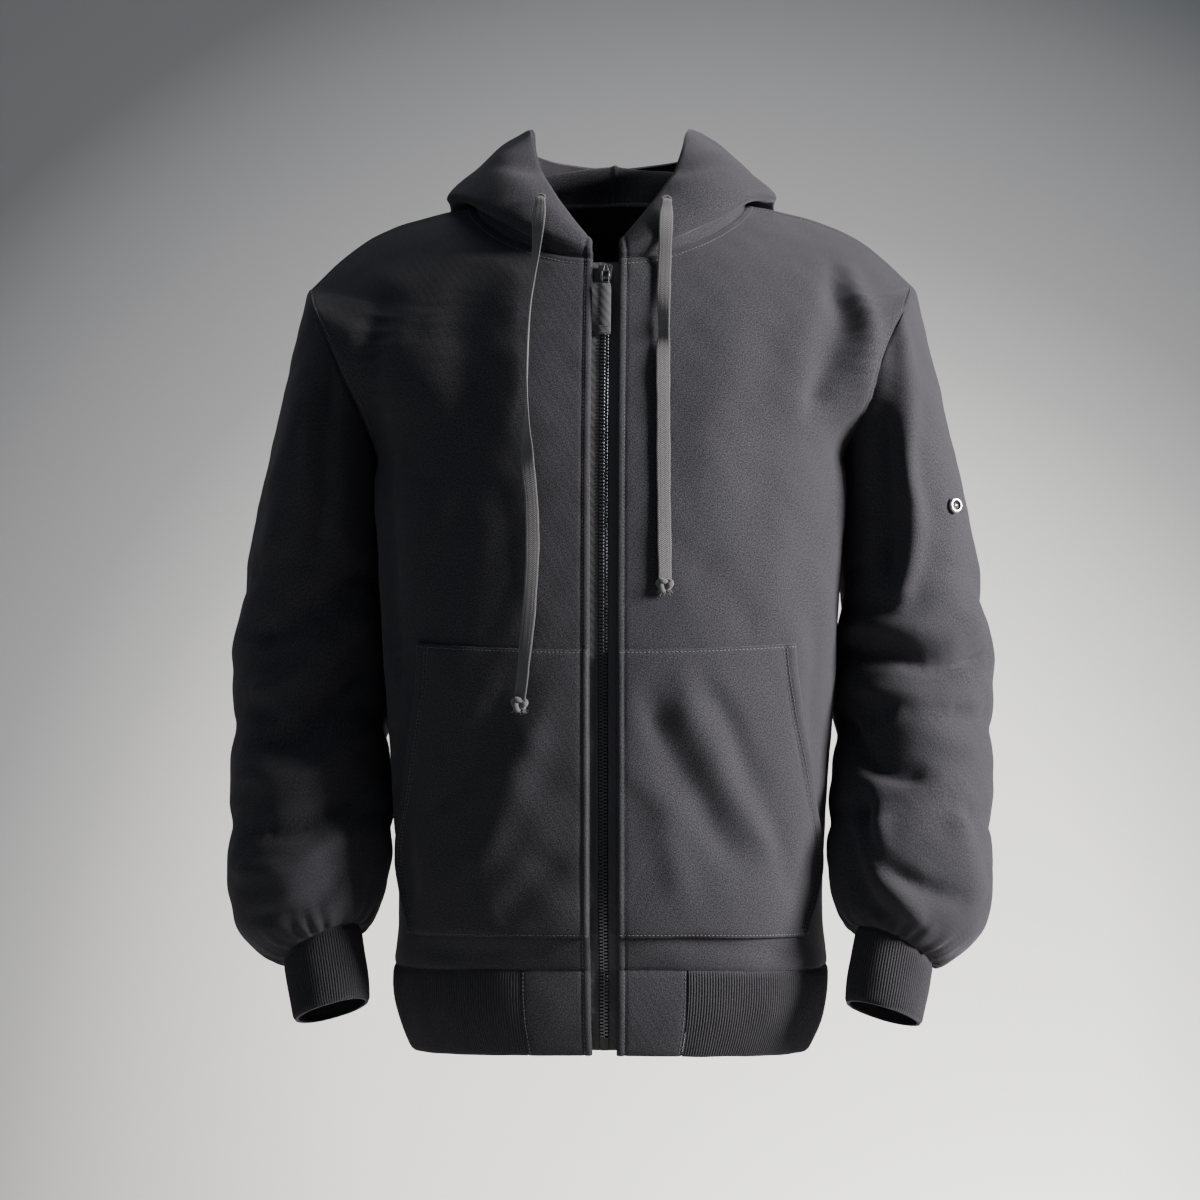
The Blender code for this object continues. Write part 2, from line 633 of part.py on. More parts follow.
def zip_pieces():
    """The two tapes, the closed chain below the slider and the box at the chain's foot."""
    tape = ZIP_BEHIND + TAPE_BACK
    zip_strip("zip_tape_left", TAPE_EDGE, TAPE_REACH, tape, TAPE_DEPTH, ZIP_TOP, ZIP_BOTTOM, "tape")
    zip_strip("zip_tape_right", -TAPE_REACH, -TAPE_EDGE, tape, TAPE_DEPTH, ZIP_TOP, ZIP_BOTTOM, "tape")
    half = CHAIN_WIDTH / 2
    chain_face = ZIP_BEHIND - CHAIN_FORWARD
    chain_top = ZIP_TOP - SLIDER_BELOW_TOP - SLIDER_LENGTH - ZIP_GAP
    box_top = ZIP_BOTTOM + END_LENGTH
    zip_strip("zip_chain", -half, half, chain_face, CHAIN_DEPTH, chain_top, box_top + ZIP_GAP, "gunmetal")
    box_face = ZIP_BEHIND - END_FORWARD
    box_depth = CHAIN_DEPTH + 2 * (END_FORWARD - CHAIN_FORWARD)
    zip_strip("zip_end", -half, half, box_face, box_depth, box_top, ZIP_BOTTOM, "gunmetal", steps=2)


def block_mesh(name, size, centre, bevel):
    """A box at a place, with its edges rounded."""
    mesh = bpy.data.meshes.new(name)
    work = bmesh.new()
    bmesh.ops.create_cube(work, size=1.0)
    bmesh.ops.scale(work, vec=size, verts=work.verts)
    bmesh.ops.translate(work, vec=centre, verts=work.verts)
    bmesh.ops.bevel(work, geom=work.edges[:], offset=bevel, segments=2, profile=0.5, affect="EDGES")
    work.to_mesh(mesh)
    work.free()
    return mesh


def slider():
    """The slider's body, narrower at its foot, with the arched bridge that the pull hangs on."""
    top = ZIP_TOP - SLIDER_BELOW_TOP
    middle = top - SLIDER_LENGTH / 2
    bridge_z = top - BRIDGE_BELOW
    y = centre_line(middle)
    size = (SLIDER_WIDTH, SLIDER_DEPTH, SLIDER_LENGTH)
    mesh = block_mesh("zip_slider", size, (0, y + SLIDER_SET, middle), SLIDER_ROUNDING)
    bridge = block_mesh("slider_bridge", BRIDGE_SIZE, (0, y + BRIDGE_SET, bridge_z), BRIDGE_ROUNDING)
    hole = block_mesh("bridge_hole", BRIDGE_HOLE, (0, y + BRIDGE_AXIS, bridge_z), HOLE_ROUNDING)
    for vertex in mesh.vertices:
        vertex.co.x *= 1 - SLIDER_TAPER * (top - vertex.co.z) / SLIDER_LENGTH
    for piece in (mesh, bridge, hole):
        for vertex in piece.vertices:
            vertex.co.y += centre_line(vertex.co.z) - y
    body = add_object("zip_slider", mesh, "gunmetal")
    cutters = bpy.data.collections.new("cutters")
    bpy.context.scene.collection.children.link(cutters)
    for tool_mesh, operation in ((bridge, "UNION"), (hole, "DIFFERENCE")):
        tool = bpy.data.objects.new(tool_mesh.name, tool_mesh)
        tool.hide_render = True
        tool.display_type = "WIRE"
        cutters.objects.link(tool)
        step = body.modifiers.new(tool_mesh.name, "BOOLEAN")
        step.operation = operation
        step.solver = "EXACT"
        step.object = tool
    return np.array((0.0, centre_line(bridge_z) + BRIDGE_AXIS, bridge_z))


def closed_wire(name, points, radius, kind):
    """A round wire whose ends meet."""
    curve = bpy.data.curves.new(name, "CURVE")
    curve.dimensions = "3D"
    curve.bevel_depth = radius
    curve.bevel_resolution = 2
    spline = curve.splines.new("POLY")
    spline.points.add(len(points) - 1)
    for spot, point in zip(spline.points, points):
        spot.co = (*point, 1.0)
    spline.use_cyclic_u = True
    return add_object(name, curve, kind)


def pull_lean(axis):
    """The angle at which the hanging pull rests against the zip chain."""
    leans = []
    for drop in np.linspace(0.012, 0.013 + PULL_LENGTH, 12):
        face = centre_line(axis[2] - drop) + ZIP_BEHIND - CHAIN_FORWARD
        leans.append(math.atan2(axis[1] - face + PULL_REST, drop))
    return max(leans)


def pull(axis):
    """The wire link through the slider's bridge, and the folded tape tab that hangs from it."""
    joint = bpy.data.objects.new("pull_joint", None)
    joint.location = axis
    joint.rotation_euler.x = -pull_lean(axis)
    hoodie.objects.link(joint)
    bend_top, bend_foot = LINK_BULGE
    half_foot = LINK_HALF_WIDTH * LINK_NARROWING
    points = []
    for angle in np.linspace(0, math.pi, 7):
        high = bend_top * math.sin(angle) - LINK_SINK
        points.append((LINK_HALF_WIDTH * math.cos(angle), 0.0, high))
    for angle in np.linspace(math.pi, math.tau, 7):
        low = bend_foot * math.sin(angle) - LINK_SINK - LINK_DROP
        points.append((half_foot * math.cos(angle), -LINK_FORWARD, low))
    link = closed_wire("pull_link", points, LINK_RADIUS, "gunmetal")
    link.parent = joint
    tab_top = -LINK_DROP - bend_foot - LINK_SINK - LINK_RADIUS - PULL_GAP
    centre = (0.0, -LINK_FORWARD - PULL_GAP, tab_top - PULL_LENGTH / 2)
    mesh = block_mesh("pull_tab", (PULL_WIDTH, PULL_DEPTH, PULL_LENGTH), centre, PULL_ROUNDING)
    tab = add_object("pull_tab", mesh, "tape")
    tab.parent = joint


def cord_route(table, side):
    """Points down the middle of a drawcord, and its turn there, spaced closely along the route."""
    points = []
    for i in range(CORD_STEPS + 1):
        x, z, off, turn = along(table, i / CORD_STEPS)
        lean = math.radians(abs(turn))
        reach = CORD_HALF_WIDTH * math.sin(lean) + CORD_DEPTH / 2 * math.cos(lean) + CORD_CLEAR
        nearest = min(cloth_y(x + step * CORD_HALF_WIDTH, z) for step in (-1, 0, 1))
        points.append((side * x, nearest - max(off, reach), z, turn))
    return points


def cloth_y(x, z):
    """The y of the outermost cloth in front at a place: the chest, the pocket or the hood's front band."""
    point = front_at(x, min(z - (x - ZIP_HALF_OPENING) * 0.05, front[-1, 0, 2] - 0.001))
    y = point[1]
    if z > -0.060:
        band = [hood_point(seam, part) for seam in neck_seam[2:7] for part in np.linspace(0.2, 1.0, 9)]
        near = [p[1] for p in band if abs(p[0] - x) < 0.012 and abs(p[2] - z) < 0.012]
        y = min([y, *near])
    if z < POCKET_TOP + 0.010:
        y -= ON_PANEL + CLOTH
    return y


def drawcords():
    """The flat cords that hang from the hood, each with a knot at its free end."""
    for name, table, side in (("left", CORD_LEFT, 1), ("right", CORD_RIGHT, -1)):
        route = cord_route(table, side)
        outer, inner = [], []
        for x, y, z, turn in route:
            angle = math.radians(turn) * side
            wide = np.array((math.cos(angle), math.sin(angle), 0.0)) * CORD_HALF_WIDTH
            thick = np.array((math.sin(angle), -math.cos(angle), 0.0)) * CORD_DEPTH / 2
            middle = np.array((x, y, z))
            outer.append([middle - wide + thick, middle + wide + thick])
            inner.append([middle - wide - thick, middle + wide - thick])
        shell(f"drawcord_{name}", np.array(outer), np.array(inner), False, "cord")
        end = route[-1]
        mesh = bpy.data.meshes.new(f"knot_{name}")
        work = bmesh.new()
        bmesh.ops.create_uvsphere(work, u_segments=14, v_segments=8, radius=1.0)
        bmesh.ops.scale(work, vec=KNOT_RADII, verts=work.verts)
        work.to_mesh(mesh)
        work.free()
        mesh.shade_smooth()
        knot = add_object(f"knot_{name}", mesh, "cord")
        knot.location = (end[0], end[1] - KNOT_FORWARD, end[2] - KNOT_RADII[2] - KNOT_GAP)


def sleeve_button():
    """A shank-free round button with a sunk middle, on the outside of the left upper arm."""
    target = np.array(BUTTON_PLACE)
    flat = folded(sleeve)
    normals = outward(sleeve)
    nearest = np.linalg.norm(flat - target, axis=2).argmin()
    i, j = np.unravel_index(nearest, flat.shape[:2])
    point, facing = flat[i, j], normals[i, j]
    profile = [
        (0.0, BUTTON_HEIGHT * 0.55),
        (BUTTON_RADIUS * 0.48, BUTTON_HEIGHT * 0.55),
        (BUTTON_RADIUS * 0.58, BUTTON_HEIGHT),
        (BUTTON_RADIUS * 0.90, BUTTON_HEIGHT * 0.92),
        (BUTTON_RADIUS, BUTTON_HEIGHT * 0.5),
        (BUTTON_RADIUS * 0.94, 0.0),
        (0.0, 0.0),
    ]
    mesh = bpy.data.meshes.new("sleeve_button")
    work = bmesh.new()
    spots = [work.verts.new((r, 0.0, h)) for r, h in profile]
    for a, b in zip(spots, spots[1:]):
        work.edges.new((a, b))
    work.to_mesh(mesh)
    work.free()
    button = add_object("sleeve_button", mesh, "gunmetal")
    screw = button.modifiers.new("turn", "SCREW")
    screw.steps = 24
    screw.render_steps = 24
    screw.use_merge_vertices = True
    screw.merge_threshold = 0.00001
    turned = facing * (1 - BUTTON_TURN) + np.array((0, -1, 0)) * BUTTON_TURN
    button.rotation_mode = "QUATERNION"
    button.rotation_quaternion = mathutils.Vector(turned).to_track_quat("Z", "Y")
    button.location = point + facing * BUTTON_SHANK


cloth_pieces()
pockets()
zip_pieces()
pull(slider())
drawcords()
sleeve_button()
bpy.context.view_layer.update()
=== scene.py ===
"""Looks of the zip-up hoodie: heavy black sweatshirt cloth, filled out as when worn, with nothing in it."""

import math

import bpy
import numpy as np
from mathutils import Matrix, Vector


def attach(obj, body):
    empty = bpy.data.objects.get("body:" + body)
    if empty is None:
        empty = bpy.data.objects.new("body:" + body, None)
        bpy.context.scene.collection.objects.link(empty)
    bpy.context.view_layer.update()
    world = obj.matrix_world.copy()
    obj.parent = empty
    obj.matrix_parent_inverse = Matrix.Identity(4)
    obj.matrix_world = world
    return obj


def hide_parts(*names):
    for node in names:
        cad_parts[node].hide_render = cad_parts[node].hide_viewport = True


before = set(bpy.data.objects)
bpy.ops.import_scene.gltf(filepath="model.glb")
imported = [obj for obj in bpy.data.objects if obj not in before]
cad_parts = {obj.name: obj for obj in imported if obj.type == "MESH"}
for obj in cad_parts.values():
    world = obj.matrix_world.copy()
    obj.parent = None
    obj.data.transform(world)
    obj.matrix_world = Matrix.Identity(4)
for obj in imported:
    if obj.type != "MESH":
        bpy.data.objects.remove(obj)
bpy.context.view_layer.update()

# ---------------------------------------------------------------- Studio: camera, floor and lights
# A seamless pale paper sweep, a large soft lamp at the front right and a weak fill on the left.
CAMERA_TURN = math.radians(2.5)
CAMERA_AIM = Vector((-0.009, 0.0, -0.330))
CAMERA_FAR = 3.0
FRAME_WIDE = 1.02
FLOOR = -1.15


def linear(hex_colour):
    """An sRGB colour written as hex, as the linear values that a shader takes."""
    parts = [int(hex_colour[k : k + 2], 16) / 255 for k in (1, 3, 5)]
    return tuple(p / 12.92 if p < 0.04045 else ((p + 0.055) / 1.055) ** 2.4 for p in parts) + (1.0,)


def add(tree, kind, **inputs):
    """Adds a node, with its settings by attribute name and its inputs by socket name."""
    node = tree.nodes.new(kind)
    for name, value in inputs.items():
        if hasattr(node, name):
            setattr(node, name, value)
            continue
        socket = node.inputs[name.replace("_", " ")]
        if isinstance(value, bpy.types.NodeSocket):
            tree.links.new(value, socket)
        else:
            socket.default_value = value
    return node


def new_material(name, colour, roughness, metallic=0.0):
    made = bpy.data.materials.new(name)
    made.use_nodes = True
    shader = made.node_tree.nodes["Principled BSDF"]
    shader.inputs["Base Color"].default_value = linear(colour)
    shader.inputs["Roughness"].default_value = roughness
    shader.inputs["Metallic"].default_value = metallic
    return made, made.node_tree, shader


def aimed(place, target):
    return (Vector(target) - Vector(place)).to_track_quat("-Z", "Y").to_matrix().to_4x4()


camera = bpy.data.objects.new("camera", bpy.data.cameras.new("camera"))
camera.data.lens = 36 * CAMERA_FAR / FRAME_WIDE
bpy.context.scene.collection.objects.link(camera)
back = Vector((math.sin(CAMERA_TURN), -math.cos(CAMERA_TURN), 0.0))
camera.matrix_world = Matrix.Translation(CAMERA_AIM + back * CAMERA_FAR) @ aimed(back, (0, 0, 0))
bpy.context.scene.camera = camera

sweep_profile = [(-7.0, FLOOR), (0.8, FLOOR)]
sweep_profile += [
    (0.8 + 1.6 * math.sin(a), FLOOR + 1.6 * (1 - math.cos(a))) for a in np.linspace(0.1, math.pi / 2, 16)
]
sweep_profile += [(2.4, 5.0)]
sweep_points = [(x, y, z) for y, z in sweep_profile for x in (-7.0, 7.0)]
sweep_faces = [(2 * k, 2 * k + 1, 2 * k + 3, 2 * k + 2) for k in range(len(sweep_profile) - 1)]
sweep_mesh = bpy.data.meshes.new("sweep")
sweep_mesh.from_pydata(sweep_points, [], sweep_faces)
sweep_mesh.shade_smooth()
sweep = bpy.data.objects.new("sweep", sweep_mesh)
bpy.context.scene.collection.objects.link(sweep)
# Matt paper with a painted pool of light: palest low down behind the garment and falling off to grey toward the
# corners, which is painted shade standing in for the light's falloff; the floor near the front keeps one even
# colour
pale_paper_painted_light, tree, shader = new_material("pale_paper_painted_light", "#b9bbbf", 0.9)
place = add(tree, "ShaderNodeTexCoord").outputs["Object"]
spot = add(tree, "ShaderNodeMapping", Vector=place)
spot.inputs["Location"].default_value = (-0.10, 0.0, 0.85)
spot.inputs["Scale"].default_value = (1.0, 0.0, 1.0)
reach = add(tree, "ShaderNodeVectorMath", operation="LENGTH")
tree.links.new(spot.outputs["Vector"], reach.inputs[0])
# Painted light: the paper's colour brightens toward the pool's middle and darkens with distance from it
painted_falloff = add(tree, "ShaderNodeValToRGB")
half_reach = add(tree, "ShaderNodeMath", operation="MULTIPLY")
tree.links.new(reach.outputs["Value"], half_reach.inputs[0])
half_reach.inputs[1].default_value = 0.5
tree.links.new(half_reach.outputs["Value"], painted_falloff.inputs["Fac"])
PAINTED_LIGHT_POOL = [
    # half the distance, painted shade
    (0.25, "#e6e5e3"),
    (0.38, "#c2c2c1"),
    (0.475, "#9d9d9d"),
    (0.55, "#868687"),
    (0.65, "#77787a"),
    (0.725, "#67696b"),
    (0.80, "#4e5053"),
]
painted_falloff.color_ramp.elements.remove(painted_falloff.color_ramp.elements[1])
for k, (at, shade) in enumerate(PAINTED_LIGHT_POOL):
    stop = painted_falloff.color_ramp.elements[0] if k == 0 else painted_falloff.color_ramp.elements.new(at)
    stop.position = at
    stop.color = linear(shade)
depth = add(tree, "ShaderNodeSeparateXYZ", Vector=place)
upright = add(tree, "ShaderNodeMapRange", Value=depth.outputs["Y"])
upright.inputs["From Min"].default_value = 0.3
upright.inputs["From Max"].default_value = 1.2
shade = add(tree, "ShaderNodeMix", data_type="RGBA")
tree.links.new(upright.outputs["Result"], shade.inputs[0])
shade.inputs[6].default_value = linear("#c2c2c1")
tree.links.new(painted_falloff.outputs["Color"], shade.inputs[7])
tree.links.new(shade.outputs[2], shader.inputs["Base Color"])
# The paper is seen from its front only, so the garment can be looked at from behind too
sides = add(tree, "ShaderNodeNewGeometry")
clear = add(tree, "ShaderNodeBsdfTransparent")
one_sided = add(tree, "ShaderNodeMixShader")
tree.links.new(sides.outputs["Backfacing"], one_sided.inputs[0])
tree.links.new(shader.outputs["BSDF"], one_sided.inputs[1])
tree.links.new(clear.outputs["BSDF"], one_sided.inputs[2])
tree.links.new(one_sided.outputs["Shader"], tree.nodes["Material Output"].inputs["Surface"])
sweep_mesh.materials.append(pale_paper_painted_light)

LIGHTS = [
    # name,   place,              aimed at,            size, watts, spread, colour
    ("key", (3.2, -1.00, 0.7), (0.10, 0.0, -0.28), 1.0, 118, 75, "#fffaf6"),
    ("fill", (-1.8, -2.6, 0.6), (-0.1, 0.0, -0.35), 2.0, 14, 180, "#dfe8ff"),
    ("top", (-0.2, 0.5, 2.3), (0.0, 0.0, -0.2), 1.4, 30, 180, "#ffffff"),
    ("wall", (0.6, 0.65, -1.0), (0.30, 2.4, -0.15), 1.1, 66, 180, "#ffffff"),
]
for name, spot, target, size, watts, spread, colour in LIGHTS:
    lamp = bpy.data.objects.new(name, bpy.data.lights.new(name, "AREA"))
    lamp.data.size = size
    lamp.data.energy = watts
    lamp.data.spread = math.radians(spread)
    lamp.data.color = linear(colour)[:3]
    bpy.context.scene.collection.objects.link(lamp)
    lamp.matrix_world = Matrix.Translation(spot) @ aimed(spot, target)
world = bpy.context.scene.world or bpy.data.worlds.new("world")
bpy.context.scene.world = world
world.use_nodes = True
world.node_tree.nodes["Background"].inputs["Color"].default_value = linear("#c9ccd2")
seen = add(world.node_tree, "ShaderNodeLightPath")
glow = add(world.node_tree, "ShaderNodeMapRange", Value=seen.outputs["Is Camera Ray"])
glow.inputs["To Min"].default_value = 0.20
glow.inputs["To Max"].default_value = 0.55
world.node_tree.links.new(glow.outputs["Result"], world.node_tree.nodes["Background"].inputs["Strength"])

# ---------------------------------------------------------------- Body panels: two fronts and a back
# Two fronts and one back in heavy brushed-back sweatshirt jersey, cut flat and sewn at the sides, shoulders
# and armholes. The surfaces come from the same short tables as the part's solids, read more finely.
CLOTH = 0.0020
HOOD_CLOTH = 0.0030
RIB_CLOTH = 0.0024
SEAM_GAP = 0.0004
SIDE_ROWS = 13
ARMHOLE_ROWS = 8
SHOULDER_ROWS = 4
ROWS = 25
ZIP_HALF_OPENING = 0.0105
HEM_DROP = -0.0715
MIRROR = np.array((-1.0, 1.0, 1.0))

SIDE_SEAM = [
    # z,      x,      y
    (-0.638, 0.1840, 0.000),
    (-0.612, 0.1810, 0.000),
    (-0.560, 0.1795, 0.001),
    (-0.480, 0.1820, 0.003),
    (-0.390, 0.1860, 0.006),
    (-0.300, 0.1900, 0.008),
    (-0.215, 0.1960, 0.010),
]
ARMHOLE = [
    # x,      y,      z
    (0.1960, 0.010, -0.215),
    (0.2070, -0.046, -0.180),
    (0.2270, -0.064, -0.130),
    (0.2490, -0.042, -0.085),
    (0.2575, 0.004, -0.065),
    (0.2490, 0.050, -0.085),
    (0.2270, 0.076, -0.130),
    (0.2050, 0.062, -0.180),
]
SHOULDER_SEAM = [
    # x,      y,      z
    (0.2575, 0.004, -0.065),
    (0.2200, 0.001, -0.031),
    (0.1850, 0.000, -0.012),
    (0.1450, 0.000, -0.001),
    (0.1150, 0.000, 0.005),
]
FRONT_SHAPE = [
    # row,  z,      y,      reach, to x, to y, to z, pull
    (0.0, -0.6305, -0.138, 0.105, 0.00, 1.00, 0.00, 0.088),
    (0.8, -0.605, -0.147, 0.105, 0.00, 1.00, 0.00, 0.092),
    (4.0, -0.500, -0.152, 0.110, -0.14, 1.00, 0.00, 0.095),
    (7.5, -0.400, -0.155, 0.112, -0.24, 1.00, 0.00, 0.100),
    (10.5, -0.310, -0.154, 0.115, -0.28, 1.00, 0.00, 0.104),
    (13.0, -0.240, -0.149, 0.118, -0.20, 1.00, 0.00, 0.094),
    (15.0, -0.195, -0.143, 0.115, 0.45, 0.90, 0.00, 0.054),
    (17.0, -0.163, -0.136, 0.110, 0.75, 0.65, 0.22, 0.050),
    (19.0, -0.132, -0.128, 0.105, 0.65, 0.72, 0.37, 0.056),
    (21.0, -0.102, -0.118, 0.098, 0.35, 0.78, 0.27, 0.070),
    (23.0, -0.073, -0.107, 0.080, 0.12, 0.88, 0.40, 0.074),
    (25.0, -0.048, -0.097, 0.058, 0.00, 1.00, 0.30, 0.058),
]
BACK_SHAPE = [
    # row,  z,      y,     reach, to x, to y, to z, pull
    (0.0, -0.640, 0.124, 0.105, 0.00, -1.00, 0.00, 0.075),
    (0.8, -0.612, 0.131, 0.105, 0.00, -1.00, 0.00, 0.078),
    (4.0, -0.500, 0.133, 0.110, -0.04, -1.00, 0.00, 0.080),
    (7.5, -0.390, 0.139, 0.115, -0.08, -1.00, 0.00, 0.083),
    (10.5, -0.285, 0.147, 0.120, -0.10, -1.00, 0.00, 0.086),
    (13.0, -0.200, 0.151, 0.125, -0.05, -1.00, 0.00, 0.084),
    (15.0, -0.154, 0.148, 0.120, 0.50, -0.85, -0.05, 0.055),
    (17.0, -0.119, 0.142, 0.112, 0.75, -0.65, 0.11, 0.054),
    (19.0, -0.086, 0.134, 0.106, 0.65, -0.72, 0.28, 0.060),
    (21.0, -0.052, 0.122, 0.100, 0.40, -0.80, 0.17, 0.068),
    (23.0, -0.018, 0.104, 0.080, 0.12, -0.95, 0.30, 0.070),
    (25.0, 0.013, 0.086, 0.058, 0.00, -1.00, 0.12, 0.052),
]
SLEEVE_RINGS = [
    # row, in x,   in z,   out x,  out z,  y,      depth, lift
    (3.0, 0.1975, -0.262, 0.2830, -0.172, 0.010, 0.080, 0.000),
    (5.5, 0.1935, -0.315, 0.3030, -0.250, 0.018, 0.081, 0.000),
    (8.0, 0.1910, -0.362, 0.3165, -0.322, 0.021, 0.079, 0.002),
    (10.0, 0.1880, -0.405, 0.3235, -0.387, 0.017, 0.077, 0.006),
    (12.5, 0.1875, -0.462, 0.3240, -0.463, -0.001, 0.074, 0.012),
    (14.5, 0.1825, -0.515, 0.3220, -0.527, -0.025, 0.071, 0.016),
    (16.5, 0.1845, -0.558, 0.3190, -0.581, -0.045, 0.066, 0.018),
    (18.0, 0.1905, -0.586, 0.3080, -0.611, -0.056, 0.059, 0.017),
    (19.2, 0.1985, -0.598, 0.2850, -0.628, -0.062, 0.047, 0.014),
    (20.0, 0.2060, -0.603, 0.2700, -0.633, -0.064, 0.038, 0.012),
]
CUFF_RINGS = [
    # row, in x,   in z,   out x,  out z,  y,      depth, lift
    (0.0, 0.2060, -0.603, 0.2700, -0.633, -0.064, 0.038, 0.012),
    (1.0, 0.2000, -0.633, 0.2650, -0.657, -0.073, 0.037, 0.010),
    (2.0, 0.1965, -0.662, 0.2590, -0.680, -0.082, 0.036, 0.010),
]
HOOD_SHAPE = [
    # angle, roll r, z,    under r, z,     fold r, z,      upper r, z,     edge r, z
    (6, 0.0985, -0.0455, 0.0990, -0.043, 0.0990, -0.041, 0.0980, -0.038, 0.0955, -0.034),
    (23, 0.1030, -0.0400, 0.1070, -0.034, 0.1080, -0.026, 0.1010, -0.013, 0.0880, -0.003),
    (37, 0.1050, -0.0300, 0.1120, -0.025, 0.1140, -0.014, 0.1010, 0.005, 0.0800, 0.018),
    (52, 0.1080, -0.0160, 0.1190, -0.013, 0.1220, 0.000, 0.1030, 0.023, 0.0735, 0.039),
    (72, 0.1150, 0.0050, 0.1250, 0.003, 0.1300, 0.013, 0.1020, 0.040, 0.0670, 0.062),
    (90, 0.1180, 0.0130, 0.1310, 0.007, 0.1380, 0.016, 0.1040, 0.044, 0.0670, 0.071),
    (110, 0.1150, 0.0250, 0.1360, 0.008, 0.1480, 0.006, 0.1200, 0.042, 0.0760, 0.072),
    (130, 0.1100, 0.0320, 0.1570, -0.038, 0.1860, -0.048, 0.1620, 0.022, 0.1020, 0.068),
    (155, 0.1040, 0.0380, 0.1660, -0.095, 0.2060, -0.122, 0.2180, -0.022, 0.1480, 0.062),
    (180, 0.1020, 0.0400, 0.1670, -0.125, 0.2080, -0.155, 0.2360, -0.045, 0.1720, 0.056),
]

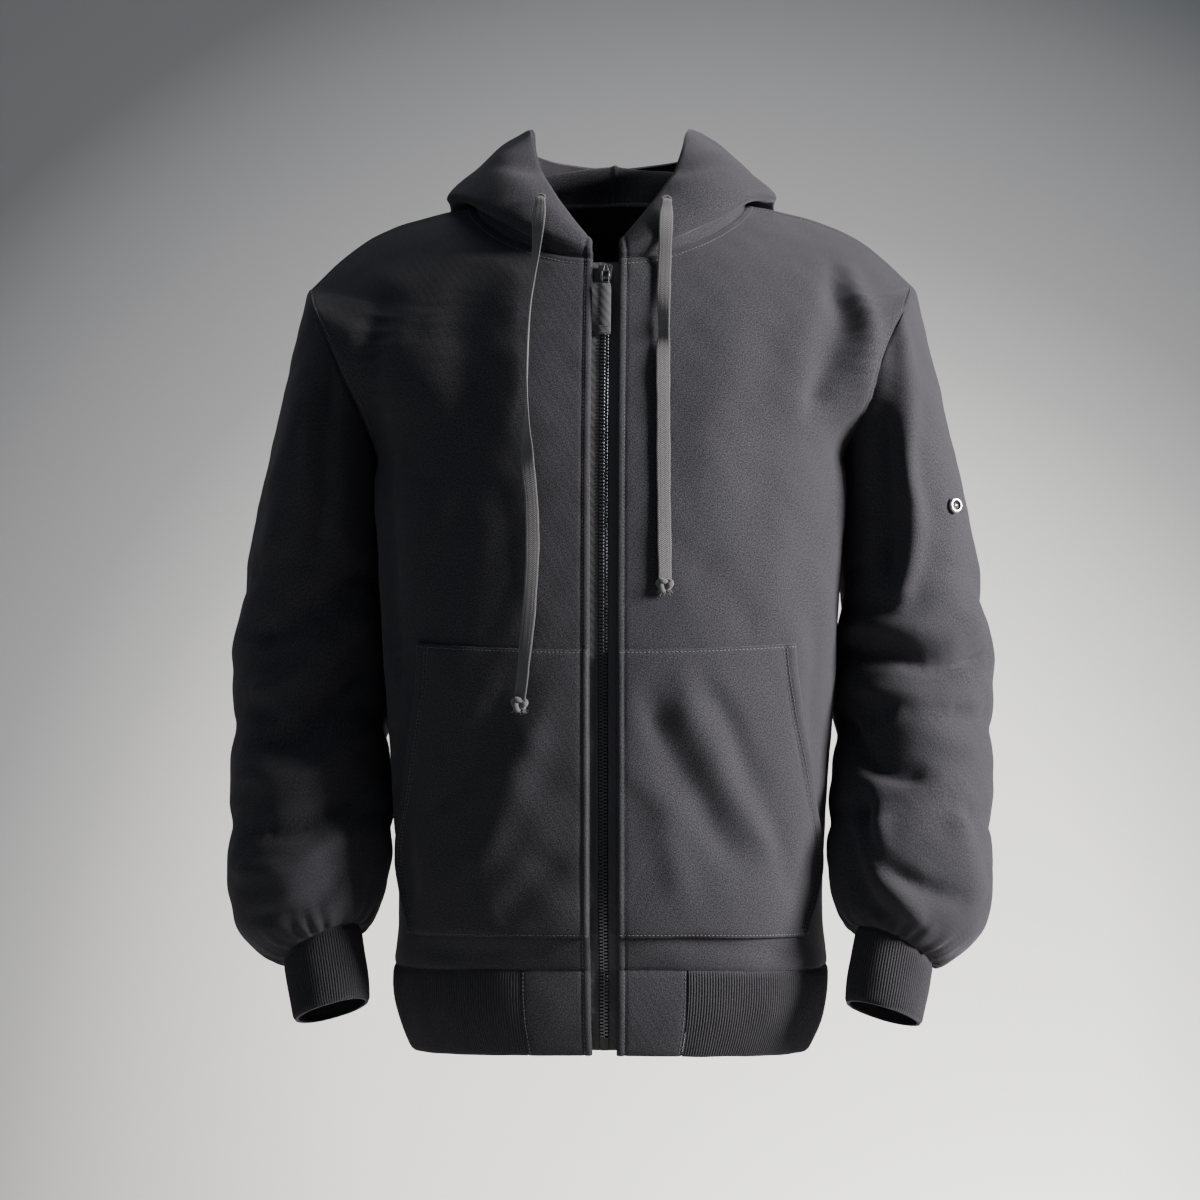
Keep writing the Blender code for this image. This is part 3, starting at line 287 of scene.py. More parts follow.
# Folds as seen from one side. The body and the sleeves have their own, and no two are alike: each runs from
# one place to another, bows sideways by a distance, and is a ridge (height above zero) or a trough.
FOLDS = [
    # piece, from,  across, z,   across, z,    bow,   width, height
    ("body", "front", 0.208, -0.061, 0.203, -0.324, 0.006, 0.016, 0.0060),
    ("body", "front", 0.192, -0.064, 0.172, -0.175, 0.006, 0.016, -0.0080),
    ("body", "front", 0.160, -0.330, 0.185, -0.235, 0.004, 0.018, -0.0020),
    ("body", "front", 0.070, -0.300, 0.120, -0.360, 0.006, 0.020, -0.0016),
    ("body", "front", 0.100, -0.090, 0.085, -0.250, 0.005, 0.030, 0.0022),
    ("body", "front", 0.140, -0.100, 0.125, -0.300, -0.006, 0.026, -0.0018),
    ("body", "front", 0.040, -0.405, 0.110, -0.545, -0.008, 0.016, -0.0040),
    ("body", "front", 0.064, -0.395, 0.140, -0.540, -0.008, 0.015, 0.0034),
    ("body", "front", 0.085, -0.400, 0.150, -0.560, 0.006, 0.013, -0.0030),
    ("body", "front", 0.030, -0.470, 0.060, -0.580, 0.004, 0.016, 0.0024),
    ("body", "front", 0.168, -0.330, 0.178, -0.470, 0.006, 0.012, -0.0030),
    ("body", "front", 0.040, -0.610, 0.150, -0.620, 0.003, 0.008, -0.0018),
    ("body", "front", -0.060, -0.080, -0.075, -0.330, 0.010, 0.030, 0.0010),
    ("body", "front", -0.105, -0.070, -0.110, -0.300, -0.010, 0.026, -0.0012),
    ("body", "front", -0.140, -0.070, -0.150, -0.310, 0.006, 0.022, 0.0014),
    ("body", "front", -0.190, -0.090, -0.170, -0.400, -0.010, 0.020, -0.0070),
    ("body", "front", -0.100, -0.250, -0.130, -0.420, 0.006, 0.024, 0.0014),
    ("body", "front", -0.050, -0.420, -0.120, -0.560, 0.012, 0.018, 0.0030),
    ("body", "front", -0.080, -0.400, -0.140, -0.500, 0.006, 0.016, -0.0028),
    ("body", "front", -0.030, -0.540, -0.090, -0.590, 0.004, 0.014, -0.0018),
    ("body", "front", -0.150, -0.380, -0.165, -0.600, -0.004, 0.014, -0.0030),
    ("body", "front", -0.050, -0.615, -0.150, -0.612, 0.003, 0.008, -0.0016),
    ("sleeve", "front", 0.242, -0.098, 0.250, -0.250, 0.004, 0.010, 0.0042),
    ("sleeve", "front", 0.250, -0.230, 0.238, -0.332, 0.004, 0.012, 0.0060),
    ("sleeve", "front", 0.228, -0.180, 0.224, -0.310, 0.004, 0.013, -0.0070),
    ("sleeve", "front", 0.276, -0.130, 0.292, -0.300, -0.008, 0.020, 0.0016),
    ("sleeve", "front", 0.200, -0.370, 0.330, -0.376, -0.006, 0.010, -0.0062),
    ("sleeve", "front", 0.196, -0.346, 0.322, -0.350, -0.006, 0.012, 0.0042),
    ("sleeve", "front", 0.205, -0.394, 0.310, -0.410, -0.010, 0.013, 0.0036),
    ("sleeve", "front", 0.196, -0.426, 0.262, -0.478, -0.010, 0.010, -0.0052),
    ("sleeve", "front", 0.230, -0.420, 0.310, -0.452, -0.010, 0.014, 0.0030),
    ("sleeve", "front", 0.212, -0.484, 0.288, -0.570, -0.026, 0.010, -0.0056),
    ("sleeve", "front", 0.225, -0.500, 0.262, -0.590, -0.014, 0.012, 0.0044),
    ("sleeve", "front", 0.200, -0.520, 0.232, -0.590, -0.006, 0.010, -0.0040),
    ("sleeve", "front", 0.290, -0.500, 0.312, -0.585, -0.008, 0.012, 0.0030),
    ("sleeve", "front", -0.232, -0.120, -0.246, -0.300, 0.006, 0.014, -0.0040),
    ("sleeve", "front", -0.262, -0.150, -0.282, -0.300, 0.008, 0.018, 0.0032),
    ("sleeve", "front", -0.205, -0.300, -0.300, -0.360, 0.010, 0.013, -0.0052),
    ("sleeve", "front", -0.200, -0.335, -0.305, -0.410, 0.010, 0.014, 0.0044),
    ("sleeve", "front", -0.200, -0.385, -0.290, -0.450, 0.012, 0.011, -0.0050),
    ("sleeve", "front", -0.205, -0.440, -0.312, -0.470, 0.014, 0.014, 0.0038),
    ("sleeve", "front", -0.198, -0.480, -0.300, -0.520, 0.012, 0.011, -0.0048),
    ("sleeve", "front", -0.215, -0.520, -0.312, -0.545, 0.016, 0.012, 0.0034),
    ("sleeve", "front", -0.215, -0.555, -0.290, -0.590, 0.010, 0.010, -0.0036),
    ("body", "back", 0.060, -0.180, 0.040, -0.420, 0.010, 0.026, 0.0030),
    ("body", "back", -0.070, -0.200, -0.050, -0.460, -0.010, 0.028, -0.0032),
    ("body", "back", 0.190, -0.110, 0.140, -0.260, 0.010, 0.018, -0.0060),
    ("body", "back", -0.190, -0.110, -0.135, -0.280, -0.012, 0.018, -0.0066),
    ("body", "back", 0.165, -0.120, 0.110, -0.300, 0.010, 0.018, 0.0034),
    ("body", "back", -0.160, -0.120, -0.100, -0.310, -0.010, 0.018, 0.0036),
    ("body", "back", 0.150, -0.520, 0.020, -0.590, 0.012, 0.014, -0.0034),
    ("body", "back", -0.150, -0.540, -0.010, -0.600, -0.010, 0.014, -0.0030),
    ("body", "back", 0.120, -0.480, -0.060, -0.550, 0.012, 0.018, 0.0030),
    ("sleeve", "back", 0.215, -0.240, 0.300, -0.300, 0.010, 0.013, -0.0050),
    ("sleeve", "back", 0.220, -0.300, 0.310, -0.370, 0.012, 0.014, 0.0040),
    ("sleeve", "back", 0.205, -0.360, 0.320, -0.420, 0.014, 0.012, -0.0056),
    ("sleeve", "back", 0.210, -0.430, 0.310, -0.500, 0.010, 0.012, 0.0038),
    ("sleeve", "back", 0.205, -0.480, 0.315, -0.555, 0.012, 0.012, -0.0050),
    ("sleeve", "back", -0.212, -0.230, -0.300, -0.320, -0.012, 0.013, -0.0048),
    ("sleeve", "back", -0.215, -0.320, -0.312, -0.380, -0.010, 0.014, 0.0040),
    ("sleeve", "back", -0.205, -0.380, -0.318, -0.450, -0.012, 0.012, -0.0056),
    ("sleeve", "back", -0.205, -0.460, -0.312, -0.530, -0.012, 0.012, 0.0040),
    ("sleeve", "back", -0.210, -0.520, -0.312, -0.580, -0.008, 0.012, -0.0046),
    ("sleeve", "side", -0.050, -0.300, 0.070, -0.380, 0.010, 0.014, -0.0022),
    ("sleeve", "side", -0.080, -0.420, 0.050, -0.470, 0.010, 0.014, -0.0026),
    ("sleeve", "side", -0.090, -0.500, 0.020, -0.560, 0.010, 0.012, -0.0024),
    ("sleeve", "side", -0.040, -0.350, 0.080, -0.430, 0.010, 0.016, 0.0018),
]


FOLD_GAIN = {"body": 1.25, "sleeve": 1.65}
# How the rows round off the seam's corner at the shoulder tip: from which row, and shares by rows away
SOFT_FROM = 16
SOFTENING = [(-2, 1 / 9), (-1, 2 / 9), (0, 3 / 9), (1, 2 / 9), (2, 1 / 9)]


def smooth(table, at):
    """Reads a table, whose first column is the key, with a smooth curve through its rows."""
    rows = np.asarray(table, float)
    keys, values = rows[:, 0], rows[:, 1:]
    if keys[0] > keys[-1]:
        keys, values = keys[::-1], values[::-1]
    at = np.clip(np.asarray(at, float), keys[0], keys[-1])
    k = np.clip(np.searchsorted(keys, at, side="right") - 1, 0, len(keys) - 2)
    slopes = np.gradient(values, keys, axis=0)
    step = (keys[k + 1] - keys[k])[..., None]
    u = (at - keys[k])[..., None] / step
    return (
        (2 * u**3 - 3 * u**2 + 1) * values[k]
        + (u**3 - 2 * u**2 + u) * step * slopes[k]
        + (3 * u**2 - 2 * u**3) * values[k + 1]
        + (u**3 - u**2) * step * slopes[k + 1]
    )


def along(points, fraction):
    """Points on the smooth open curve through the points, at fractions of the way by point count."""
    points = np.asarray(points, float)
    keys = np.arange(len(points), dtype=float)[:, None]
    return smooth(np.hstack([keys, points]), np.asarray(fraction) * (len(points) - 1))


def round_loop(points, turn):
    """Points on the smooth closed curve through the points, at parts of one turn."""
    count = len(points)
    table = [(i, *points[i % count]) for i in range(-2, count + 3)]
    return smooth(table, (np.asarray(turn) % 1.0) * count)


def outer_seam(row, half):
    """The outer seam of a body panel at a row: side seam, then armhole, then shoulder seam."""
    if row <= SIDE_ROWS:
        low, high = SIDE_SEAM[0][0], SIDE_SEAM[-1][0]
        z = low + (high - low) * row / SIDE_ROWS
        x, y = smooth(SIDE_SEAM, z)
        return np.array((x, y, z))
    if row <= SIDE_ROWS + ARMHOLE_ROWS:
        part = (row - SIDE_ROWS) / ARMHOLE_ROWS * 0.5
        return round_loop(ARMHOLE, part if half == "front" else 1 - part)
    return along(SHOULDER_SEAM, (row - SIDE_ROWS - ARMHOLE_ROWS) / SHOULDER_ROWS)


def soft_seam(row, half):
    """The outer seam with its corner at the shoulder tip rounded off, which the rows lean toward."""
    end = outer_seam(row, half)
    if row <= SOFT_FROM:
        return end
    total = 0
    for shift, weight in SOFTENING:
        near = row + shift
        past = near - ROWS
        spot = outer_seam(min(near, 2 * ROWS - near), half)
        total = total + weight * (2 * outer_seam(ROWS, half) - spot if past > 0 else spot)
    share = min((row - SOFT_FROM) / 2, 1.0)
    return end * (1 - share) + total * share


SOFT_ROWS = {
    half: [(row, *soft_seam(row, half)) for row in range(SOFT_FROM - 2, ROWS + 1)]
    for half in ("front", "back")
}


def body_row(row, parts, half):
    """Points of the left front or left half of the back, at parts of the way along a row from the middle."""
    z, y, reach, *arrival, pull = smooth(FRONT_SHAPE if half == "front" else BACK_SHAPE, row)
    start = np.array((ZIP_HALF_OPENING if half == "front" else 0.0, y, z))
    end = outer_seam(row, half)
    arrival = np.array(arrival) / np.linalg.norm(arrival)
    second = start + np.array((reach, 0, 0))
    lean = end if row <= SOFT_FROM else smooth(SOFT_ROWS[half], row)
    third = lean - arrival * pull
    part = np.asarray(parts, float)[:, None]
    rest = 1 - part
    return rest**3 * start + 3 * rest**2 * part * second + 3 * rest * part**2 * third + part**3 * end


def lengths_along(grid, axis):
    """How far each point is from the first one, along the rows or the columns."""
    steps = np.linalg.norm(np.diff(grid, axis=axis), axis=2)
    first = np.zeros_like(steps[:1] if axis == 0 else steps[:, :1])
    return np.concatenate([first, np.cumsum(steps, axis=axis)], axis=axis)


def vertex_normals(grid, closed, turn):
    """Sums of the normals of the cells that meet at each point."""
    around = np.concatenate([grid, grid[:, :1]], axis=1) if closed else grid
    cell = np.cross(around[1:, 1:] - around[:-1, :-1], around[1:, :-1] - around[:-1, 1:]) * turn
    total = np.zeros_like(around)
    for rows in (slice(None, -1), slice(1, None)):
        for columns in (slice(None, -1), slice(1, None)):
            total[rows, columns] += cell
    if closed:
        total[:, 0] += total[:, -1]
        total = total[:, :-1]
    return total


def soft_noise(points, size, seed):
    """An uneven value from about -1 to 1 that changes over a distance, the same in every run."""
    random = np.random.default_rng(seed)
    total = np.zeros(points.shape[:-1])
    for _ in range(7):
        direction = random.normal(size=3)
        direction *= math.tau / (np.linalg.norm(direction) * size * random.uniform(0.6, 1.5))
        total += np.sin(points @ direction + random.uniform(0, math.tau))
    return total / 3.5


def fold_heights(points, normals, kind):
    """How far the folds move points of the body or of the sleeves out."""
    flat_points, flat_normals = points.reshape(-1, 3), normals.reshape(-1, 3)
    total = np.zeros(len(flat_points))
    wander = np.stack([soft_noise(flat_points, 0.09, 3), soft_noise(flat_points, 0.09, 4)], axis=1) * 0.0045
    for piece, side, a0, z0, a1, z1, bow, width, height in FOLDS:
        if piece != kind:
            continue
        if side == "side":
            flat = flat_points[:, 1:] + wander
            facing = np.abs(flat_normals[:, 0])
        else:
            flat = flat_points[:, ::2] + wander
            facing = flat_normals[:, 1] * (-1 if side == "front" else 1)
        start, end = np.array((a0, z0)), np.array((a1, z1))
        middle = (start + end) / 2 + np.array((-(z1 - z0), a1 - a0)) / np.linalg.norm(end - start) * bow * 2
        low = np.minimum(np.minimum(start, end), middle) - 3 * width
        high = np.maximum(np.maximum(start, end), middle) + 3 * width
        near = np.flatnonzero((flat > low).all(axis=1) & (flat < high).all(axis=1) & (facing > -0.1))
        if not len(near):
            continue
        best, where = np.full(len(near), 9.0), np.zeros(len(near))
        for u in np.linspace(0, 1, 25):
            spot = (1 - u) ** 2 * start + 2 * u * (1 - u) * middle + u**2 * end
            gap = np.linalg.norm(flat[near] - spot, axis=1)
            closer = gap < best
            best[closer], where[closer] = gap[closer], u
        thin = 1 - 0.35 * np.abs(2 * where - 1)
        tail = np.clip(np.minimum(where, 1 - where) * 5 + 0.35, 0, 1)
        fade = np.clip((facing[near] - 0.02) / 0.50, 0, 1)
        total[near] += FOLD_GAIN[kind] * height * tail * fade * np.exp(-((best / (width * thin)) ** 2))
    return total.reshape(points.shape[:2])


def dent(distance, at, width, depth):
    return -depth * np.exp(-(((distance - at) / width) ** 2))


def edge_relief(distance, kind):
    """The relief of cloth near its edge: a plain seam, a topstitched seam or the zip's folded edge."""
    if kind == "seam":
        return dent(distance, 0, 0.0022, 0.0013)
    if kind == "stitched":
        raised = 0.0003 * (distance < 0.006)
        return dent(distance, 0, 0.0018, 0.0014) + dent(distance, 0.0060, 0.0015, 0.0007) + raised
    if kind == "zip":
        band = 0.0006 / (1 + np.exp(np.minimum((distance - 0.0072) / 0.0006, 600)))
        return band + dent(distance, 0, 0.0013, 0.0016) + dent(distance, 0.0068, 0.0012, 0.0010)
    return np.zeros_like(distance)


def pulled_in(grid, closed):
    """The grid with its edges drawn in by half the seam gap."""
    moved = grid.copy()
    half = SEAM_GAP / 2

    def toward(a, b):
        step = b - a
        return half * step / np.linalg.norm(step, axis=1, keepdims=True)

    moved[0] += toward(grid[0], grid[1])
    moved[-1] += toward(grid[-1], grid[-2])
    if not closed:
        moved[:, 0] += toward(grid[:, 0], grid[:, 1])
        moved[:, -1] += toward(grid[:, -1], grid[:, -2])
    return moved


def flip_faces(faces):
    return [face[::-1] for face in faces]


def shell(name, outer, inner, closed, surface, turn):
    """A closed cloth wall between an outer and an inner grid, with its weave laid out in metres."""
    rows, columns = outer.shape[:2]
    spans = columns if closed else columns - 1
    below = rows * columns
    i, j = np.meshgrid(np.arange(rows - 1), np.arange(spans), indexing="ij")
    i, j = i.ravel(), j.ravel()
    following = (j + 1) % columns
    this_row, next_row = i * columns, (i + 1) * columns
    cells = np.stack([this_row + j, this_row + following, next_row + following, next_row + j], 1)
    faces = cells.tolist() + (below + cells[:, ::-1]).tolist()
    rims = []
    for k in range(spans):
        after = (k + 1) % columns
        top = (rows - 1) * columns
        rims.append([after, k, below + k, below + after])
        rims.append([top + k, top + after, below + top + after, below + top + k])
    if not closed:
        for k in range(rows - 1):
            first, last = k * columns, k * columns + columns - 1
            rims.append([first, first + columns, below + first + columns, below + first])
            rims.append([last + columns, last, below + last, below + last + columns])
    faces += rims
    if turn < 0:
        faces = flip_faces(faces)
    mesh = bpy.data.meshes.new(name)
    mesh.from_pydata(np.concatenate([outer.reshape(-1, 3), inner.reshape(-1, 3)]).tolist(), [], faces)
    wrapped = np.concatenate([outer, outer[:, :1]], axis=1) if closed else outer
    across, up = lengths_along(wrapped, 1), lengths_along(wrapped, 0)
    flat = np.stack([across, up], axis=2)
    corners = [flat[:-1, :-1], flat[:-1, 1:], flat[1:, 1:], flat[1:, :-1]]
    cell_map = np.stack(corners, axis=2).reshape(-1, 4, 2)
    rim_map = np.zeros((len(rims), 4, 2))
    both = np.concatenate([cell_map, cell_map[:, ::-1], rim_map])
    if turn < 0:
        both = both[:, ::-1]
    mesh.uv_layers.new(name="weave").data.foreach_set("uv", both.reshape(-1).astype(np.float32))
    mesh.shade_smooth()
    mesh.set_sharp_from_angle(angle=math.radians(60))
    mesh.materials.append(surface)
    made = bpy.data.objects.new(name, mesh)
    bpy.context.scene.collection.objects.link(made)
    return made


WAVES_PER_UNIT = 20


def weave_bump(tree, shader, pitch, depth, nap):
    """A fine knit with a brushed nap: rows of loops that lean in twill lines, under an uneven grain."""
    place = add(tree, "ShaderNodeTexCoord").outputs["UV"]
    lined = add(tree, "ShaderNodeMapping", Vector=place)
    lined.inputs["Rotation"].default_value[2] = math.radians(28)
    waves = add(tree, "ShaderNodeTexWave", Vector=lined.outputs["Vector"], Distortion=1.5)
    waves.inputs["Scale"].default_value = 1 / (pitch * WAVES_PER_UNIT)
    grain = add(tree, "ShaderNodeTexNoise", Vector=place, Scale=1 / nap, Detail=3.0, Roughness=0.7)
    mixed = add(tree, "ShaderNodeMath", operation="MULTIPLY_ADD")
    tree.links.new(waves.outputs["Fac"], mixed.inputs[0])
    mixed.inputs[1].default_value = 0.12
    tree.links.new(grain.outputs["Fac"], mixed.inputs[2])
    bump = add(tree, "ShaderNodeBump", Strength=0.9, Distance=depth, Height=mixed.outputs["Value"])
    tree.links.new(bump.outputs["Normal"], shader.inputs["Normal"])
    return place, grain


def cloth_material(name, dark, light, sheen, pitch=0.0011, depth=0.00035, nap=0.0016):
    """Dyed cotton with a dry nap: dark and light are its two shades, and the sheen lights its edges."""
    made, tree, shader = new_material(name, dark, 0.92)
    place, grain = weave_bump(tree, shader, pitch, depth, nap)
    ramp = add(tree, "ShaderNodeValToRGB", Fac=grain.outputs["Fac"])
    ramp.color_ramp.elements[0].position = 0.38
    ramp.color_ramp.elements[0].color = linear(dark)
    ramp.color_ramp.elements[1].position = 0.66
    ramp.color_ramp.elements[1].color = linear(light)
    tree.links.new(ramp.outputs["Color"], shader.inputs["Base Color"])
    shader.inputs["Sheen Weight"].default_value = sheen
    shader.inputs["Sheen Roughness"].default_value = 0.45
    shader.inputs["Sheen Tint"].default_value = linear("#c9c4d2")
    shader.inputs["Specular IOR Level"].default_value = 0.25
    return made


# Black brushed cotton: near black, faintly violet, matt, and lit along its edges by its nap
brushed_black = cloth_material("brushed_black_jersey", "#0f0f12", "#34343a", 0.10, depth=0.0005, nap=0.0012)
# Black 1x1 rib, a little greyer and drier than the jersey, since its ridges catch the light
ribbed_black = cloth_material("black_rib_knit", "#17171a", "#2e2e33", 0.12, pitch=0.0022, nap=0.0012)

# Rows and parts of the way where the surfaces are read: evenly, and closer at edges and seams
even_rows = np.arange(0, ROWS * 7 + 1) / 7
row_lines = np.unique(np.concatenate([[0.03, 0.07], even_rows, [ROWS - 0.07, ROWS - 0.03]]).round(6))
zip_parts = [0.002, 0.0045, 0.0075, 0.0105, 0.013, 0.0155, 0.018, 0.0205, 0.0235, 0.028, 0.034, 0.039]
even_parts = np.arange(4, 88) / 90
part_lines = np.concatenate([[0.0], zip_parts, even_parts, [0.979, 0.988, 0.994, 0.997, 1.0]])

front = np.array([body_row(row, part_lines, "front") for row in row_lines])
back_half = np.array([body_row(row, part_lines, "back") for row in row_lines])
back = np.concatenate([back_half[:, ::-1], back_half[:, 1:] * MIRROR], axis=1)

arm_rows = row_lines[(row_lines >= SIDE_ROWS - 1e-6) & (row_lines <= SIDE_ROWS + ARMHOLE_ROWS + 1e-6)]
front_turns = (arm_rows - SIDE_ROWS) / ARMHOLE_ROWS * 0.5
turn_lines = np.concatenate([front_turns, (1 - front_turns[1:-1])[::-1]])
sleeve_rows = np.concatenate([[0.0, 0.03, 0.07, 0.14], np.arange(1, 141) / 7 + 0.08, [19.95, 20.0]])
sleeve_rows = np.unique(np.clip(sleeve_rows, 0, 20.0))


def ring_points(ring, turns):
    """Points of a sleeve ring: it starts beside the body and goes round by the front."""
    in_x, in_z, out_x, out_z, y, depth, lift = ring
    cosine, sine = np.cos(turns * math.tau), np.sin(turns * math.tau)
    across = (1 - cosine) / 2
    x = in_x + (out_x - in_x) * across
    z = in_z + (out_z - in_z) * across + lift * sine
    return np.stack([x, y - depth * sine, z], 1)


sleeve_keys = np.array([0.0] + [ring[0] for ring in SLEEVE_RINGS])
sleeve_values = [round_loop(ARMHOLE, turn_lines)]
sleeve_values = np.array(sleeve_values + [ring_points(ring[1:], turn_lines) for ring in SLEEVE_RINGS])
sleeve_table = np.hstack([sleeve_keys[:, None], sleeve_values.reshape(len(sleeve_keys), -1)])
sleeve = smooth(sleeve_table, sleeve_rows).reshape(len(sleeve_rows), -1, 3)
cuff_rows = np.unique(np.concatenate([[0.03, 0.07], np.arange(0, 17) / 8, [1.96]]))
cuff = np.array([ring_points(smooth(CUFF_RINGS, row), turn_lines) for row in cuff_rows])

neck_seam = np.concatenate([front[-1], back_half[-1][::-1][1:]])
hood_parts = np.unique(np.concatenate([[0.004, 0.009, 0.016], np.arange(0, 65) / 64, [0.985, 0.991, 0.996]]))
seam_angles = np.arctan2(neck_seam[:, 0], -neck_seam[:, 1])
hood_sections = smooth(HOOD_SHAPE, np.degrees(seam_angles)).reshape(-1, 5, 2)
seam_ends = np.stack([np.hypot(neck_seam[:, 0], neck_seam[:, 1]), neck_seam[:, 2]], axis=1)[:, None]
hood_sections = np.concatenate([seam_ends, hood_sections], axis=1).transpose(1, 0, 2)
hood_rz = along(hood_sections.reshape(6, -1), hood_parts).reshape(len(hood_parts), -1, 2)
hood = np.stack([
    hood_rz[..., 0] * np.sin(seam_angles),
    -hood_rz[..., 0] * np.cos(seam_angles),
    hood_rz[..., 1],
], axis=2)

hem_seam = np.concatenate([front[0], back_half[0][::-1][1:]])
hem_parts = np.unique(np.concatenate([[0.012, 0.03], np.arange(0, 13) / 12, [0.97, 0.988]]))
hem_swell = (1 + 0.030 * np.sin(hem_parts * math.pi) - 0.085 * hem_parts)[:, None]
hem_half = np.stack([
    hem_seam[:, 0] * hem_swell,
    hem_seam[:, 1] * hem_swell,
    hem_seam[:, 2] + HEM_DROP * hem_parts[:, None],
], axis=2)
block_end = int(np.argmin(np.abs(part_lines - 0.2)))
rib_half = hem_half[:, block_end:]
rib = np.concatenate([rib_half, rib_half[:, ::-1][:, 1:] * MIRROR], axis=1)
block = hem_half[:, : block_end + 1]

# Skin pieces: grid, closed round, which way its rows and columns turn, the wall, and its four edges
SKIN = {
    "front_left": (front, False, 1, CLOTH, ("seam", "stitched", "zip", "stitched")),
    "front_right": (front * MIRROR, False, -1, CLOTH, ("seam", "stitched", "zip", "stitched")),
    "back": (back, False, 1, CLOTH, ("seam", "stitched", "stitched", "stitched")),
    "sleeve_left": (sleeve, True, -1, CLOTH, ("seam", "seam", None, None)),
    "sleeve_right": (sleeve * MIRROR, True, 1, CLOTH, ("seam", "seam", None, None)),
    "cuff_left": (cuff, True, -1, RIB_CLOTH, ("seam", "seam", None, None)),
    "cuff_right": (cuff * MIRROR, True, 1, RIB_CLOTH, ("seam", "seam", None, None)),
    "hood_left": (hood, False, 1, HOOD_CLOTH, ("seam", "seam", "zip", "seam")),
    "hood_right": (hood * MIRROR, False, -1, HOOD_CLOTH, ("seam", "seam", "zip", "seam")),
    "hem_rib": (rib, False, -1, RIB_CLOTH, ("seam", "seam", "seam", "seam")),
    "hem_block_left": (block, False, -1, CLOTH, ("seam", "seam", "zip", "seam")),
    "hem_block_right": (block * MIRROR, False, 1, CLOTH, ("seam", "seam", "zip", "seam")),
}

every_point = np.concatenate([grid.reshape(-1, 3) for grid, *_ in SKIN.values()])
every_sum = np.concatenate([
    vertex_normals(grid, closed, turn).reshape(-1, 3) for grid, closed, turn, *_ in SKIN.values()
])
_, same = np.unique(np.round(every_point / 1e-6).astype(np.int64), axis=0, return_inverse=True)
same = same.reshape(-1)
joined = np.zeros((same.max() + 1, 3))
np.add.at(joined, same, every_sum)
every_normal = joined[same]
every_normal /= np.linalg.norm(every_normal, axis=1, keepdims=True)
NORMALS = {}
start_at = 0
for name, (grid, *_) in SKIN.items():
    count = grid.shape[0] * grid.shape[1]
    NORMALS[name] = every_normal[start_at : start_at + count].reshape(grid.shape)
    start_at += count


def edge_reliefs(grid, edges):
    up, across = lengths_along(grid, 0), lengths_along(grid, 1)
    distances = (up, up[-1] - up, across, across[:, -1:] - across)
    return sum(edge_relief(distance, kind) for distance, kind in zip(distances, edges) if kind)


def surface_heights(name):
    """How far out the finished cloth lies from the plain surface: folds, slack and edges."""
    grid, closed, turn, wall, edges = SKIN[name]
    normals = NORMALS[name]
    heights = edge_reliefs(grid, edges)
    kind = "other"
    if name.startswith("sleeve"):
        kind = "sleeve"
    elif name.startswith(("front", "back")):
        kind = "body"
    slack = {"sleeve": 0.0012, "body": 0.0006, "other": 0.0005}[kind]
    heights += slack * soft_noise(grid, 0.075, 11) + 0.4 * slack * soft_noise(grid, 0.030, 12)
    if kind != "other":
        heights += fold_heights(grid, normals, kind)
    if name.startswith("sleeve"):
        heights += gathers(grid, lengths_along(grid, 0)[-1] - lengths_along(grid, 0))
    if name.startswith("hood"):
        heights += hood_folds(grid)
    return heights


def gathers(grid, distance):
    """Small puckers where the full sleeve is eased onto the cuff."""
    turns = np.arange(grid.shape[1]) / grid.shape[1] * math.tau
    waves = np.sin(turns * 19 + 1.5 * np.sin(turns * 3 + 1))
    waves += 0.6 * np.sin(turns * 31 + 2.0 * np.sin(turns * 2))
    return 0.0011 * waves[None] * np.exp(-((distance - 0.006) / 0.016) ** 2) * np.clip(distance / 0.004, 0, 1)


def hood_folds(grid):
    """The hood's soft folds: a long crease round each side of the roll and slack over the back."""
    side = np.where(grid[..., 0] > 0, 1.0, 0.8)
    angle = np.arctan2(np.abs(grid[..., 0]), -grid[..., 1])
    up = grid[..., 2]
    crease = dent(up - 0.004 - 0.030 * np.sin(angle), 0.004, 0.006, 0.0024)
    crease *= np.exp(-((angle - 0.9) / 0.45) ** 2)
    second = 0.0026 * np.exp(-((up - 0.036 * angle + 0.006) / 0.010) ** 2)
    second *= np.exp(-((angle - 1.5) / 0.5) ** 2)
    return (crease + second) * side + 0.0022 * soft_noise(grid, 0.060, 21) * np.clip(angle - 1.4, 0, 1)


FACES = {}
for name, (grid, closed, turn, wall, edges) in SKIN.items():
    if name.startswith(("cuff", "hem_rib")):
        continue
    outer = pulled_in(grid + NORMALS[name] * surface_heights(name)[..., None], closed)
    FACES[name] = outer
    made = shell(name + "_cloth", outer, outer - NORMALS[name] * wall, closed, brushed_black, turn)
    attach(made, "garment")
    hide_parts(name)

# ---------------------------------------------------------------- Hem and cuff rib
# One length of 1x1 rib for the hem, and a tube of it for each cuff, sewn on slightly stretched. The ribs are
# real ridges that run the short way of the band.
RIB_PITCH = 0.0023
RIB_DEPTH = 0.0009
PER_RIB = 6


